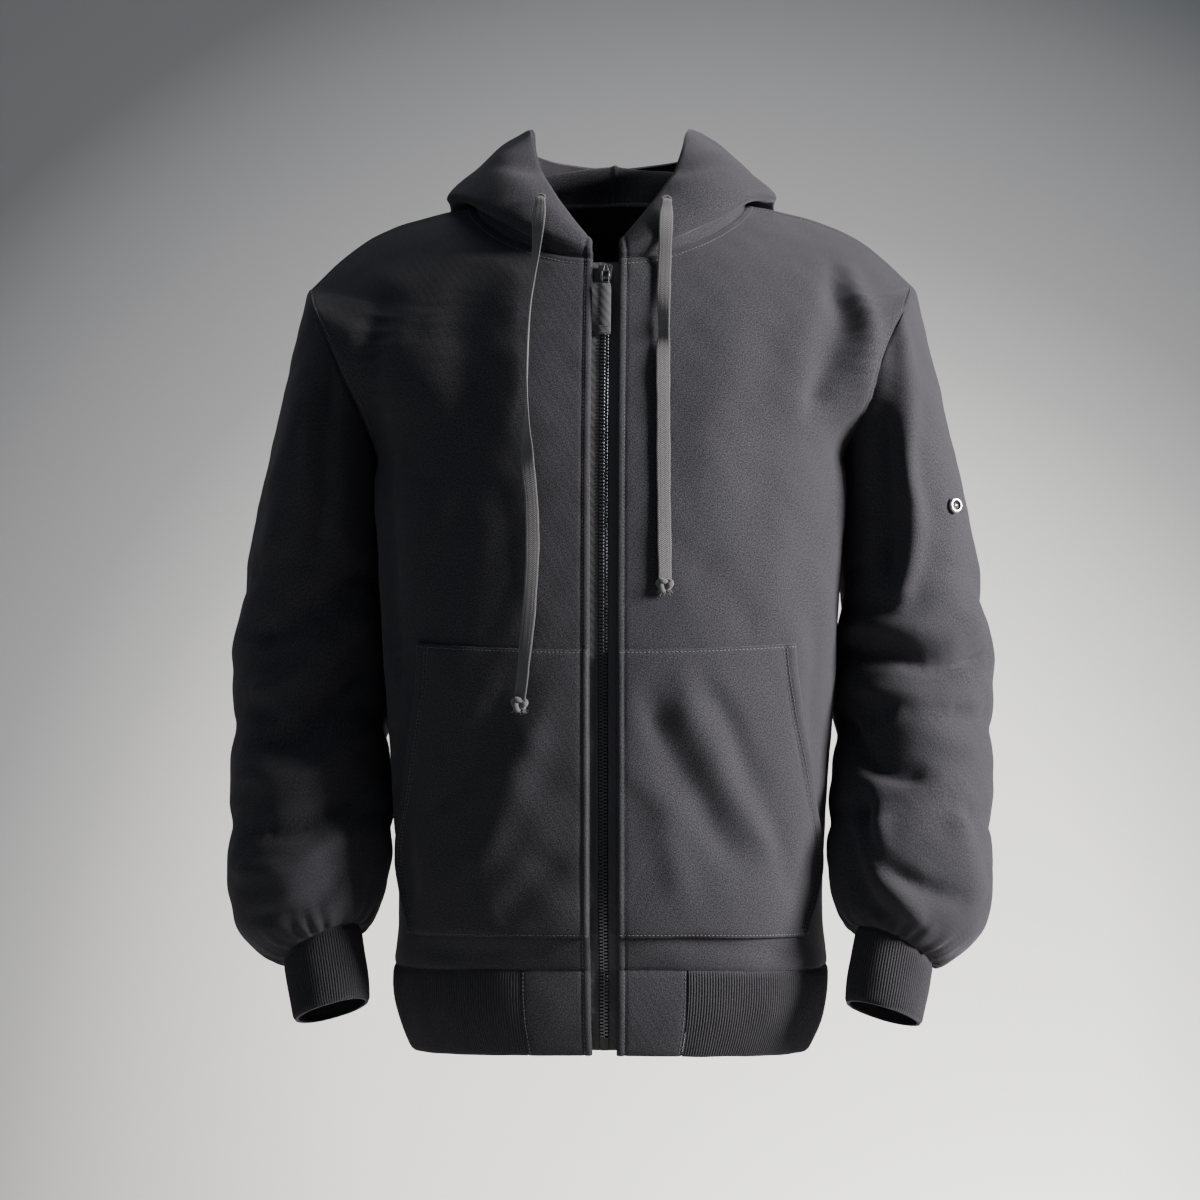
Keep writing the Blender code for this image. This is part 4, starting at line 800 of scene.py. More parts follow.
def rib_grid(grid, normals, closed):
    """The grid read again at even steps round the band, a few to each rib, and its ridges' heights."""
    around = np.concatenate([grid, grid[:, :1]], axis=1) if closed else grid
    around_normals = np.concatenate([normals, normals[:, :1]], axis=1) if closed else normals
    middle = lengths_along(around, 1)[len(grid) // 2]
    count = int(round(middle[-1] / RIB_PITCH))
    wanted = np.linspace(0, middle[-1], count * PER_RIB + 1)
    if closed:
        wanted = wanted[:-1]
    whole = np.interp(wanted, middle, np.arange(len(middle)))
    low = np.minimum(whole.astype(int), len(middle) - 2)
    part = (whole - low)[None, :, None]
    finer = around[:, low] * (1 - part) + around[:, low + 1] * part
    finer_normals = around_normals[:, low] * (1 - part) + around_normals[:, low + 1] * part
    finer_normals /= np.linalg.norm(finer_normals, axis=2, keepdims=True)
    ridges = RIB_DEPTH * (np.abs(np.cos(np.arange(len(wanted)) * math.pi / PER_RIB)) ** 0.8 - 0.6)
    return finer, finer_normals, ridges


for name in ("cuff_left", "cuff_right", "hem_rib"):
    grid, closed, turn, wall, edges = SKIN[name]
    finer, finer_normals, ridges = rib_grid(grid, NORMALS[name], closed)
    up = lengths_along(finer, 0)
    edge_fade = np.clip(np.minimum(up, up[-1] - up) / 0.0025, 0.25, 1)
    heights = edge_reliefs(finer, edges[:2] + (None, None)) + ridges * edge_fade
    heights += 0.0006 * soft_noise(finer, 0.05, 31)
    outer = pulled_in(finer + finer_normals * heights[..., None], closed)
    FACES[name] = outer
    made = shell(name + "_knit", outer, outer - finer_normals * wall, closed, ribbed_black, turn)
    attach(made, "garment")
    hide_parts(name)

# ---------------------------------------------------------------- Stitching tools
# Every seam that shows is topstitched in black polyester thread, a shade glossier than the cloth. A stitch is a
# short bead that sinks half into the cloth, and each run of them is one mesh.
STITCH_PITCH = 0.0033
STITCH_LENGTH = 0.0025
STITCH_RADIUS = 0.00036
black_thread, thread_tree, thread_shader = new_material("black_thread", "#242427", 0.55)
thread_shader.inputs["Sheen Weight"].default_value = 0.3

bead_rings = [(-0.5, 0.25), (-0.2, 1.0), (0.2, 1.0), (0.5, 0.25)]
bead_turns = np.linspace(0, math.tau, 6)[:-1]
BEAD_POINTS = np.array([
    (along_it, size * math.cos(a), size * math.sin(a)) for along_it, size in bead_rings for a in bead_turns
])
BEAD_FACES = [
    [5 * r + k, 5 * r + (k + 1) % 5, 5 * r + 5 + (k + 1) % 5, 5 * r + 5 + k]
    for r in range(3)
    for k in range(5)
]
BEAD_FACES += [[4, 3, 2, 1, 0], [15, 16, 17, 18, 19]]


def joined_copies(name, points, faces, frames, surface):
    """One mesh of many copies of a small shape. A frame is a place and three axes that carry the sizes."""
    spots = np.concatenate([place + points @ axes for place, axes in frames])
    count = len(points)
    all_faces = [[index + k * count for index in face] for k in range(len(frames)) for face in faces]
    mesh = bpy.data.meshes.new(name)
    mesh.from_pydata(spots.tolist(), [], all_faces)
    mesh.shade_smooth()
    mesh.materials.append(surface)
    made = bpy.data.objects.new(name, mesh)
    bpy.context.scene.collection.objects.link(made)
    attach(made, "garment")
    return made


def inset_line(name, edge, distance):
    """A line on the finished cloth at a distance from one of its edges, with the cloth's normals along it."""
    grid, normals = FACES[name], NORMALS[name]
    if edge.endswith("row"):
        grid, normals = grid.transpose(1, 0, 2), normals.transpose(1, 0, 2)
    if edge.startswith("last"):
        grid, normals = grid[:, ::-1], normals[:, ::-1]
    far = lengths_along(grid, 1)
    line = [[np.interp(distance, far[r], grid[r, :, k]) for k in range(3)] for r in range(len(grid))]
    facing = [[np.interp(distance, far[r], normals[r, :, k]) for k in range(3)] for r in range(len(grid))]
    return np.array(line), np.array(facing)


def stitch_frames(line, facing, pitch=STITCH_PITCH, lift=0.00010):
    """The places of the stitches along a line on the cloth."""
    far = np.concatenate([[0], np.cumsum(np.linalg.norm(np.diff(line, axis=0), axis=1))])
    frames = []
    for spot in np.arange(pitch, far[-1] - pitch / 2, pitch):
        here = np.array([np.interp(spot, far, line[:, k]) for k in range(3)])
        ahead = np.array([np.interp(spot + 0.0006, far, line[:, k]) for k in range(3)])
        up = np.array([np.interp(spot, far, facing[:, k]) for k in range(3)])
        up /= np.linalg.norm(up)
        forward = (ahead - here) / np.linalg.norm(ahead - here)
        side = np.cross(up, forward)
        axes = np.stack([forward * STITCH_LENGTH, side * STITCH_RADIUS, up * STITCH_RADIUS])
        frames.append((here + up * lift, axes))
    return frames


# ---------------------------------------------------------------- Kangaroo pocket
# Two halves of the same jersey, one on each front, sewn on at the top, the bottom and the zip. The slanted
# side is open, turned under and held by two rows of stitches.
POCKET_TOP = -0.370
POCKET_BOTTOM = -0.602
POCKET_INNER = 0.0116
ON_PANEL = 0.0019
POCKET_OPENING = [
    # z,      x
    (-0.602, 0.1630),
    (-0.565, 0.1715),
    (-0.535, 0.1745),
    (-0.490, 0.1700),
    (-0.440, 0.1620),
    (-0.400, 0.1560),
    (-0.370, 0.1535),
]


def panel_index(grid, x, z):
    """The row and column of the left front, as real numbers, at a place seen from the front."""
    low, high = 0.0, len(grid) - 1.0
    for _ in range(22):
        row = (low + high) / 2
        low, high = (row, high) if np.interp(row, np.arange(len(grid)), grid[:, 0, 2]) < z else (low, row)
    i = min(int(row), len(grid) - 2)
    across = grid[i] * (1 - row + i) + grid[i + 1] * (row - i)
    rising = int(np.argmax(across[:, 0]))
    return row, np.interp(x, across[:rising, 0], np.arange(rising))


def panel_read(grid, row, column):
    i, j = min(int(row), len(grid) - 2), min(int(column), grid.shape[1] - 2)
    u, v = row - i, column - j
    low = grid[i, j] * (1 - v) + grid[i, j + 1] * v
    high = grid[i + 1, j] * (1 - v) + grid[i + 1, j + 1] * v
    return low * (1 - u) + high * u


POCKET_CLOSE_STEPS = (0.0006, 0.0013, 0.0024, 0.0040, 0.0060, 0.0080, 0.0105, 0.0125, 0.0145, 0.0170)
POCKET_STITCHES = [
    # edge, distance in
    ("first_row", 0.0024),
    ("last_row", 0.0024),
    ("last_column", 0.0112),
    ("last_column", 0.0142),
]


def uneven_steps(count, close, width):
    """Places from 0 to 1, evenly spaced, with more of them near both ends at given distances."""
    ends = np.array(close) / width
    return np.unique(np.concatenate([[0, 1], ends, 1 - ends, np.linspace(ends[-1], 1 - ends[-1], count)]))


for side_name, mirror in (("left", np.ones(3)), ("right", MIRROR)):
    panel = FACES[f"front_{side_name}"] * mirror
    panel_normals = NORMALS[f"front_{side_name}"] * mirror
    high_steps = uneven_steps(72, (0.0006, 0.0013, 0.0022, 0.0032, 0.0046), POCKET_TOP - POCKET_BOTTOM)
    wide_steps = uneven_steps(52, POCKET_CLOSE_STEPS, 0.150)
    grid, normals = [], []
    for step in high_steps:
        z = POCKET_BOTTOM + (POCKET_TOP - POCKET_BOTTOM) * step
        row, first = panel_index(front, POCKET_INNER, z)
        last = panel_index(front, float(smooth(POCKET_OPENING, z)[0]), z)[1]
        spots = [(row, first + (last - first) * part) for part in wide_steps]
        grid.append([panel_read(panel, *spot) for spot in spots])
        normals.append([panel_read(panel_normals, *spot) for spot in spots])
    grid, normals = np.array(grid), np.array(normals)
    up, across = lengths_along(grid, 0), lengths_along(grid, 1)
    from_open = across[:, -1:] - across
    heights = sum(
        dent(distance, 0, 0.0012, 0.0011) + dent(distance, 0.0024, 0.0011, 0.0006)
        for distance in (up, up[-1] - up)
    )
    heights += dent(across, 0, 0.0012, 0.0010)
    heights += dent(from_open, 0, 0.0014, 0.0010) + 0.0020 * np.exp(-((from_open - 0.005) / 0.0060) ** 2)
    heights += dent(from_open, 0.0112, 0.0011, 0.0010) + dent(from_open, 0.0142, 0.0011, 0.0010)
    tilt = 1.0 if side_name == "left" else 0.7
    heights += 0.0010 * tilt * soft_noise(grid, 0.050, 41) * np.clip(np.minimum(up, up[-1] - up) / 0.03, 0, 1)
    outer = grid + normals * (ON_PANEL + CLOTH + heights)[..., None]
    inner = outer - normals * CLOTH
    name = f"pocket_{side_name}"
    FACES[name], NORMALS[name] = outer * mirror, normals * mirror
    made = shell(name + "_cloth", outer * mirror, inner * mirror, False, brushed_black, int(mirror[0]))
    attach(made, "garment")
    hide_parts(name)
    frames = []
    for edge, distance in POCKET_STITCHES:
        frames += stitch_frames(*inset_line(name, edge, distance))
    joined_copies(name + "_stitches", BEAD_POINTS, BEAD_FACES, frames, black_thread)

# ---------------------------------------------------------------- Seam stitching on the body
# One row beside the zip on each front, one below the neck seam, one round each armhole and one at each
# shoulder and at the foot of the body, as on any flat-sewn sweatshirt.
STITCH_RUNS = [
    # piece,         edge,           distance, first and last share of the run
    ("front_left", "first_column", 0.0068, 0.0, 1.0),
    ("front_right", "first_column", 0.0068, 0.0, 1.0),
    ("front_left", "last_row", 0.0062, 0.05, 1.0),
    ("front_right", "last_row", 0.0062, 0.05, 1.0),
    ("front_left", "last_column", 0.0060, 0.52, 1.0),
    ("front_right", "last_column", 0.0060, 0.52, 1.0),
    ("back", "first_column", 0.0060, 0.52, 0.84),
    ("back", "last_column", 0.0060, 0.52, 0.84),
    ("hem_block_left", "first_column", 0.0068, 0.0, 1.0),
    ("hem_block_right", "first_column", 0.0068, 0.0, 1.0),
    ("hem_block_left", "last_column", 0.0030, 0.0, 1.0),
    ("hem_block_right", "last_column", 0.0030, 0.0, 1.0),
]
frames = []
for name, edge, distance, first, last in STITCH_RUNS:
    line, facing = inset_line(name, edge, distance)
    span = slice(int(first * len(line)), int(last * len(line)))
    frames += stitch_frames(line[span], facing[span])
joined_copies("seam_stitches", BEAD_POINTS, BEAD_FACES, frames, black_thread)

# ---------------------------------------------------------------- Zip: tapes, teeth, end stop
# A closed-end chain of gunmetal teeth clamped on two woven tapes, which are sewn behind the folded front
# edges. The teeth of the two sides lock in turn.
ZIP_TOP = -0.052
ZIP_BOTTOM = -0.697
ZIP_BEHIND = 0.0041
TOOTH_PITCH = 0.0028
BEAD_BACK = 0.0018
BEAD_DEPTH = 0.0007
BEAD_ACROSS = (0.0001, 0.0045)
SLIDER_LENGTH = 0.0140
BRIDGE_AXIS = -0.0034

gunmetal, metal_tree, metal_shader = new_material("dark_gunmetal", "#55555a", 0.34, 1.0)
metal_place = add(metal_tree, "ShaderNodeTexCoord").outputs["Object"]
metal_wear = add(metal_tree, "ShaderNodeTexNoise", Vector=metal_place, Scale=900.0, Detail=2.0)
metal_rough = add(metal_tree, "ShaderNodeMapRange", Value=metal_wear.outputs["Fac"])
metal_rough.inputs["To Min"].default_value = 0.24
metal_rough.inputs["To Max"].default_value = 0.48
metal_tree.links.new(metal_rough.outputs["Result"], metal_shader.inputs["Roughness"])

# Black twill tape: a tight diagonal weave, a shade lighter than the jersey
twill_black, twill_tree, twill_shader = new_material("black_twill_tape", "#232326", 0.8)
twill_place = add(twill_tree, "ShaderNodeTexCoord").outputs["Object"]
twill_turn = add(twill_tree, "ShaderNodeMapping", Vector=twill_place)
twill_turn.inputs["Rotation"].default_value[1] = math.radians(40)
twill_waves = add(twill_tree, "ShaderNodeTexWave", Vector=twill_turn.outputs["Vector"])
twill_waves.inputs["Scale"].default_value = 1 / (0.0008 * WAVES_PER_UNIT)
twill_height = twill_waves.outputs["Fac"]
twill_bump = add(twill_tree, "ShaderNodeBump", Strength=0.8, Distance=0.0002, Height=twill_height)
twill_tree.links.new(twill_bump.outputs["Normal"], twill_shader.inputs["Normal"])
twill_shader.inputs["Sheen Weight"].default_value = 0.15


def centre_line(z):
    """The y of the plain outer cloth beside the zip at a height."""
    if z < front[0, 0, 2]:
        part = min((z - front[0, 0, 2]) / HEM_DROP, 1.0)
        return front[0, 0, 1] * (1 + 0.030 * math.sin(part * math.pi) - 0.085 * part)
    return float(np.interp(z, front[:, 0, 2], front[:, 0, 1]))


for node in ("zip_tape_left", "zip_tape_right"):
    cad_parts[node].data.materials.clear()
    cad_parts[node].data.materials.append(twill_black)

# The tapes' woven inner edges, which the teeth are clamped on and which meet behind the chain
for side_name, side in (("left", 1), ("right", -1)):
    outer, inner = [], []
    for z in np.linspace(ZIP_BOTTOM, ZIP_TOP, 60):
        y = centre_line(z) + ZIP_BEHIND + BEAD_BACK
        outer.append([(side * x, y, z) for x in BEAD_ACROSS])
        inner.append([(side * x, y + BEAD_DEPTH, z) for x in BEAD_ACROSS])
    bead = shell(f"tape_edge_{side_name}", np.array(outer), np.array(inner), False, twill_black, side)
    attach(bead, "garment")

tooth_plan = [(-0.0008, 0.00045), (-0.0001, 0.00085), (0.0007, 0.00050), (0.0013, 0.00085), (0.0034, 0.00100)]
tooth_plan = tooth_plan + [(x, -z) for x, z in tooth_plan[::-1]]
tooth_levels = [(-0.00135, 0.80), (-0.00095, 1.0), (0.00095, 1.0), (0.00135, 0.80)]
plan_middle = 0.0013
TOOTH_POINTS = np.array([
    (plan_middle + (x - plan_middle) * size, y, z * size) for y, size in tooth_levels for x, z in tooth_plan
])
plan_count = len(tooth_plan)
TOOTH_FACES = [
    [low + k, low + (k + 1) % plan_count, low + plan_count + (k + 1) % plan_count, low + plan_count + k]
    for low in (0, plan_count, 2 * plan_count)
    for k in range(plan_count)
]
TOOTH_FACES += [list(range(plan_count))[::-1], list(range(3 * plan_count, 4 * plan_count))]
frames = []
first_tooth = ZIP_BOTTOM + 0.0125
last_tooth = ZIP_TOP - 0.002 - SLIDER_LENGTH
for k in range(int((last_tooth - first_tooth) / TOOTH_PITCH * 2)):
    z = first_tooth + k * TOOTH_PITCH / 2
    lean = math.atan2(centre_line(z + 0.002) - centre_line(z - 0.002), 0.004)
    side = 1 if k % 2 else -1
    upright = np.array((0.0, math.sin(lean), math.cos(lean)))
    axes = np.stack([(side, 0, 0), np.cross(upright, (1, 0, 0)) * -1, upright])
    frames.append((np.array((0.0, centre_line(z) + ZIP_BEHIND + 0.0002, z)), axes))
teeth = joined_copies("zip_teeth", TOOTH_POINTS, TOOTH_FACES, frames, gunmetal)
teeth.data.set_sharp_from_angle(angle=math.radians(35))
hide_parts("zip_chain")
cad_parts["zip_end"].data.materials.clear()
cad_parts["zip_end"].data.materials.append(new_material("blackened_zip_box", "#1b1b1d", 0.5, 0.4)[0])

# ---------------------------------------------------------------- Zip slider and pull
# A cast gunmetal slider with an A-shaped crown. A wire link goes through the crown, and a strip of twill tape
# is folded over the link and stitched across its end.
slider_top = ZIP_TOP - 0.002
slider_y = centre_line(slider_top - SLIDER_LENGTH / 2)
slider_lean = math.atan2(centre_line(slider_top) - centre_line(slider_top - SLIDER_LENGTH), SLIDER_LENGTH)


def bar_between(start, end, wide, deep, bevel):
    """A bar with rounded edges from one place to another, as an object."""
    start, end = Vector(start), Vector(end)
    bpy.ops.mesh.primitive_cube_add(size=1.0)
    made = bpy.context.object
    made.data.transform(Matrix.Diagonal((wide, deep, (end - start).length, 1.0)))
    turn = (end - start).to_track_quat("Z", "Y").to_matrix().to_4x4()
    made.data.transform(Matrix.Translation((start + end) / 2) @ turn)
    step = made.modifiers.new("round", "BEVEL")
    step.width = bevel
    step.segments = 2
    bpy.ops.object.modifier_apply(modifier=step.name)
    return made


def one_object(name, made):
    bpy.ops.object.select_all(action="DESELECT")
    for obj in made:
        obj.select_set(True)
    bpy.context.view_layer.objects.active = made[0]
    if len(made) > 1:
        bpy.ops.object.join()
    made[0].name = name
    made[0].data.shade_smooth()
    made[0].data.set_sharp_from_angle(angle=math.radians(40))
    return made[0]


# Two cheeks that spread to the top, the post between them, and the three bars of the low arch on the face
SLIDER_BARS = [
    # from x, y and down; to x, y and down; wide, deep, bevel
    (-0.0022, 0.0012, 0.0138, -0.0040, 0.0012, 0.0002, 0.0046, 0.0040, 0.0009),
    (0.0022, 0.0012, 0.0138, 0.0040, 0.0012, 0.0002, 0.0046, 0.0040, 0.0009),
    (0.0, 0.0012, 0.0136, 0.0, 0.0012, 0.0040, 0.0040, 0.0036, 0.0006),
    (-0.0006, -0.0026, 0.0004, -0.0030, -0.0016, 0.0108, 0.0012, 0.0014, 0.0003),
    (0.0006, -0.0026, 0.0004, 0.0030, -0.0016, 0.0108, 0.0012, 0.0014, 0.0003),
    (-0.0022, -0.0022, 0.0075, 0.0022, -0.0022, 0.0075, 0.0010, 0.0010, 0.0003),
]
slider_parts = [
    bar_between(
        (start_x, slider_y + start_y, slider_top - start_down),
        (end_x, slider_y + end_y, slider_top - end_down),
        wide, deep, bevel,
    )
    for start_x, start_y, start_down, end_x, end_y, end_down, wide, deep, bevel in SLIDER_BARS
]
slider = one_object("zip_slider_cast", slider_parts)
lean_turn = Matrix.Rotation(-slider_lean, 4, "X")
slider_middle = Vector((0, slider_y, slider_top - SLIDER_LENGTH / 2))
slider.data.transform(Matrix.Translation(slider_middle) @ lean_turn @ Matrix.Translation(-slider_middle))
slider.data.materials.clear()
slider.data.materials.append(gunmetal)
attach(slider, "garment")
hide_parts("zip_slider")
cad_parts["pull_link"].data.materials.clear()
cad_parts["pull_link"].data.materials.append(gunmetal)

# The tape tab: two layers folded over the link, narrowed at the fold, with its stitched end a step lower
PULL_WIDTH = 0.0100
PULL_LENGTH = 0.0440
PULL_LEAN = 0.2643
pull_axis = Vector((0.0, -0.10529, -0.0602))
tab_steps = 40
tab_outer, tab_inner = [], []
for k in range(tab_steps + 1):
    down = k / tab_steps
    z = -0.0114 - PULL_LENGTH * down
    half = PULL_WIDTH / 2 * (0.86 + 0.14 * min(down / 0.10, 1.0))
    bow = 0.0004 * math.sin(down * math.pi * 1.2)
    thick = 0.0010 if down < 0.84 else 0.0007
    thick *= min(1.0, 0.45 + down * 10, 0.45 + (1 - down) * 14)
    rows = [(-half, 0.6), (-half * 0.94, 0.95), (0.0, 1.0), (half * 0.94, 0.95), (half, 0.6)]
    tab_outer.append([(x, -0.0020 - bow - thick * size, z) for x, size in rows])
    tab_inner.append([(x, -0.0020 - bow + thick * size, z) for x, size in rows])
tab = shell("pull_tab_tape", np.array(tab_outer), np.array(tab_inner), False, twill_black, 1)
tab_place = Matrix.Translation(pull_axis) @ Matrix.Rotation(-PULL_LEAN, 4, "X")
tab.data.transform(tab_place)
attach(tab, "zip_pull")
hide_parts("pull_tab")
tab_frames = []
for down in (0.035, 0.155):
    for x in np.linspace(-0.0038, 0.0038, 5) if down < 0.1 else np.linspace(-0.0040, 0.0040, 5):
        z = -0.0114 - PULL_LENGTH * (1 - down)
        spot = tab_place @ Vector((x, -0.0032, z))
        sides = ((0.0017, 0, 0), (0, 0.0003, 0), (0, 0, 0.0003))
        axes = np.stack([np.array(tab_place.to_3x3() @ Vector(v)) for v in sides])
        tab_frames.append((np.array(spot), axes))
tab_stitches = joined_copies("pull_tab_stitches", BEAD_POINTS, BEAD_FACES, tab_frames, black_thread)
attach(tab_stitches, "zip_pull")

# ---------------------------------------------------------------- Drawcords
# Flat braided cotton cord, charcoal, that leaves the hood's channel through a stitched hole on each side and
# hangs free. Each end is tied in one knot and frays a little below it.
CORD_HALF_WIDTH = 0.0056
CORD_DEPTH = 0.0018
CORD_CLEAR = 0.0012
CORD_LEFT = [
    # x,      z,      off,    turn
    (0.0500, -0.004, 0.0030, 10),
    (0.0495, -0.024, 0.0040, 8),
    (0.0485, -0.050, 0.0045, 0),
    (0.0480, -0.080, 0.0040, -10),
    (0.0485, -0.108, 0.0040, -35),
    (0.0480, -0.130, 0.0035, 5),
    (0.0485, -0.180, 0.0030, 8),
    (0.0490, -0.240, 0.0030, 10),
    (0.0500, -0.300, 0.0030, 15),
    (0.0500, -0.3135, 0.0030, 15),
]
CORD_RIGHT = [
    # x,      z,      off,    turn
    (0.0540, -0.002, 0.0030, 10),
    (0.0560, -0.030, 0.0040, 35),
    (0.0590, -0.065, 0.0050, 70),
    (0.0615, -0.100, 0.0062, 86),
    (0.0625, -0.150, 0.0062, 86),
    (0.0620, -0.190, 0.0055, 60),
    (0.0610, -0.220, 0.0035, 15),
    (0.0580, -0.250, 0.0030, 8),
    (0.0570, -0.290, 0.0030, 5),
    (0.0590, -0.330, 0.0030, 10),
    (0.0620, -0.365, 0.0030, 20),
    (0.0650, -0.395, 0.0035, 30),
    (0.0670, -0.4095, 0.0035, 30),
]

# Charcoal braid: lengthwise columns of slanting yarns, lighter and drier than the cloth behind them
braid, braid_tree, braid_shader = new_material("charcoal_flat_braid", "#444446", 0.85)
braid_place = add(braid_tree, "ShaderNodeTexCoord").outputs["UV"]
braid_split = add(braid_tree, "ShaderNodeSeparateXYZ", Vector=braid_place)
braid_zigzag = add(braid_tree, "ShaderNodeMath", operation="PINGPONG")
braid_tree.links.new(braid_split.outputs["X"], braid_zigzag.inputs[0])
braid_zigzag.inputs[1].default_value = 0.0014
braid_sum = add(braid_tree, "ShaderNodeMath", operation="ADD")
braid_tree.links.new(braid_split.outputs["Y"], braid_sum.inputs[0])
braid_tree.links.new(braid_zigzag.outputs["Value"], braid_sum.inputs[1])
braid_wave = add(braid_tree, "ShaderNodeMath", operation="SINE")
braid_fine = add(braid_tree, "ShaderNodeMath", operation="MULTIPLY")
braid_tree.links.new(braid_sum.outputs["Value"], braid_fine.inputs[0])
braid_fine.inputs[1].default_value = math.tau / 0.0016
braid_tree.links.new(braid_fine.outputs["Value"], braid_wave.inputs[0])
braid_height = braid_wave.outputs["Value"]
braid_bump = add(braid_tree, "ShaderNodeBump", Strength=0.9, Distance=0.0002, Height=braid_height)
braid_tree.links.new(braid_bump.outputs["Normal"], braid_shader.inputs["Normal"])
# The colour follows the bump: darker in the grooves between the slanting yarns and lighter on their crests, a
# painted shade and highlight over the charcoal
braid_range = add(braid_tree, "ShaderNodeMapRange", Value=braid_wave.outputs["Value"])
braid_range.inputs["From Min"].default_value = -1.0
braid_painted_shade = add(braid_tree, "ShaderNodeValToRGB", Fac=braid_range.outputs["Result"])
braid_painted_shade.color_ramp.elements[0].color = linear("#2c2c2e")
braid_painted_shade.color_ramp.elements[1].color = linear("#4c4c4e")
braid_tree.links.new(braid_painted_shade.outputs["Color"], braid_shader.inputs["Base Color"])
braid_shader.inputs["Sheen Weight"].default_value = 0.25

behind_parts = ("front", "pocket", "hood")
behind_names = [f"{part}_{side_name}" for side_name in ("left", "right") for part in behind_parts]
behind_cords = np.concatenate([FACES[name].reshape(-1, 3) for name in behind_names])
behind_cords = behind_cords[behind_cords[:, 1] < -0.03]


def cloth_y(x, z, reach_x, reach_z):
    """The y of the outermost finished cloth in front near a place."""
    close = (np.abs(behind_cords[:, 0] - x) < reach_x) & (np.abs(behind_cords[:, 2] - z) < reach_z)
    return behind_cords[close, 1].min() if close.any() else -0.1


def cord_route(table, side):
    """Points down the middle of a drawcord, and its turn there."""
    spots = along(table, np.linspace(0, 1, 105))
    reach = CORD_HALF_WIDTH * np.sin(np.radians(np.abs(spots[:, 3]))) + CORD_DEPTH / 2 + CORD_CLEAR * 0.4
    behind = np.array([cloth_y(side * x, z, 0.0062, 0.0045) for x, z, *_ in spots])
    smoothed = np.convolve(np.pad(behind, 4, mode="edge"), np.ones(9) / 9, mode="valid")
    y = np.minimum(behind, smoothed) - reach
    y = np.convolve(np.pad(y, 3, mode="edge"), np.ones(7) / 7, mode="valid")
    route = np.stack([side * spots[:, 0], y, spots[:, 1]], axis=1)
    return route, np.radians(spots[:, 3]) * side


def flat_cord(name, route, turns):
    """A flat braided cord along a route: an oval with lengthwise columns, gathered at the hole."""
    far = np.concatenate([[0], np.cumsum(np.linalg.norm(np.diff(route, axis=0), axis=1))])
    wanted = np.linspace(0, far[-1], int(far[-1] / 0.0014))
    centre = np.stack([np.interp(wanted, far, route[:, k]) for k in range(3)], axis=1)
    turn = np.interp(wanted, far, turns)
    ahead = np.gradient(centre, axis=0)
    ahead /= np.linalg.norm(ahead, axis=1, keepdims=True)
    wide = np.stack([np.cos(turn), np.sin(turn), np.zeros_like(turn)], axis=1)
    wide -= ahead * (wide * ahead).sum(axis=1, keepdims=True)
    wide /= np.linalg.norm(wide, axis=1, keepdims=True)
    thick = np.cross(wide, ahead)
    around = np.linspace(0, math.tau, 45)[:-1]
    oval_x = np.sign(np.cos(around)) * np.abs(np.cos(around)) ** 0.8
    oval_y = np.sign(np.sin(around)) * np.abs(np.sin(around)) ** 0.55
    columns = 0.80 + 0.20 * np.abs(np.cos(oval_x * math.pi * 2.5))
    gather = 0.42 + 0.58 * np.clip(wanted / 0.016, 0, 1) ** 0.7
    swell = 1.5 - 0.5 * np.clip(wanted / 0.016, 0, 1)
    uneven = 1 + 0.03 * np.sin(wanted / 0.011) + 0.02 * np.sin(wanted / 0.0043 + 1)
    grid = (
        centre[:, None]
        + wide[:, None] * (oval_x[None] * (CORD_HALF_WIDTH * gather * uneven)[:, None])[..., None]
        + thick[:, None] * ((oval_y * columns)[None] * (CORD_DEPTH / 2 * swell)[:, None])[..., None]
    )
    rows, count = grid.shape[:2]
    faces = [
        [i * count + j, i * count + (j + 1) % count, (i + 1) * count + (j + 1) % count, (i + 1) * count + j]
        for i in range(rows - 1)
        for j in range(count)
    ]
    faces = flip_faces(faces)
    faces += [list(range(count)), [(rows - 1) * count + j for j in range(count)][::-1]]
    mesh = bpy.data.meshes.new(name)
    mesh.from_pydata(grid.reshape(-1, 3).tolist(), [], faces)
    layer = mesh.uv_layers.new(name="weave")
    u = np.concatenate([oval_x * CORD_HALF_WIDTH])
    values = np.zeros((len(mesh.loops), 2), np.float32)
    corner = np.zeros(len(mesh.loops), np.int32)
    mesh.loops.foreach_get("vertex_index", corner)
    values[:, 0] = u[corner % count] + 0.0056
    values[:, 1] = wanted[corner // count]
    layer.data.foreach_set("uv", values.reshape(-1))
    mesh.shade_smooth()
    mesh.materials.append(braid)
    made = bpy.data.objects.new(name, mesh)
    bpy.context.scene.collection.objects.link(made)
    return made, centre


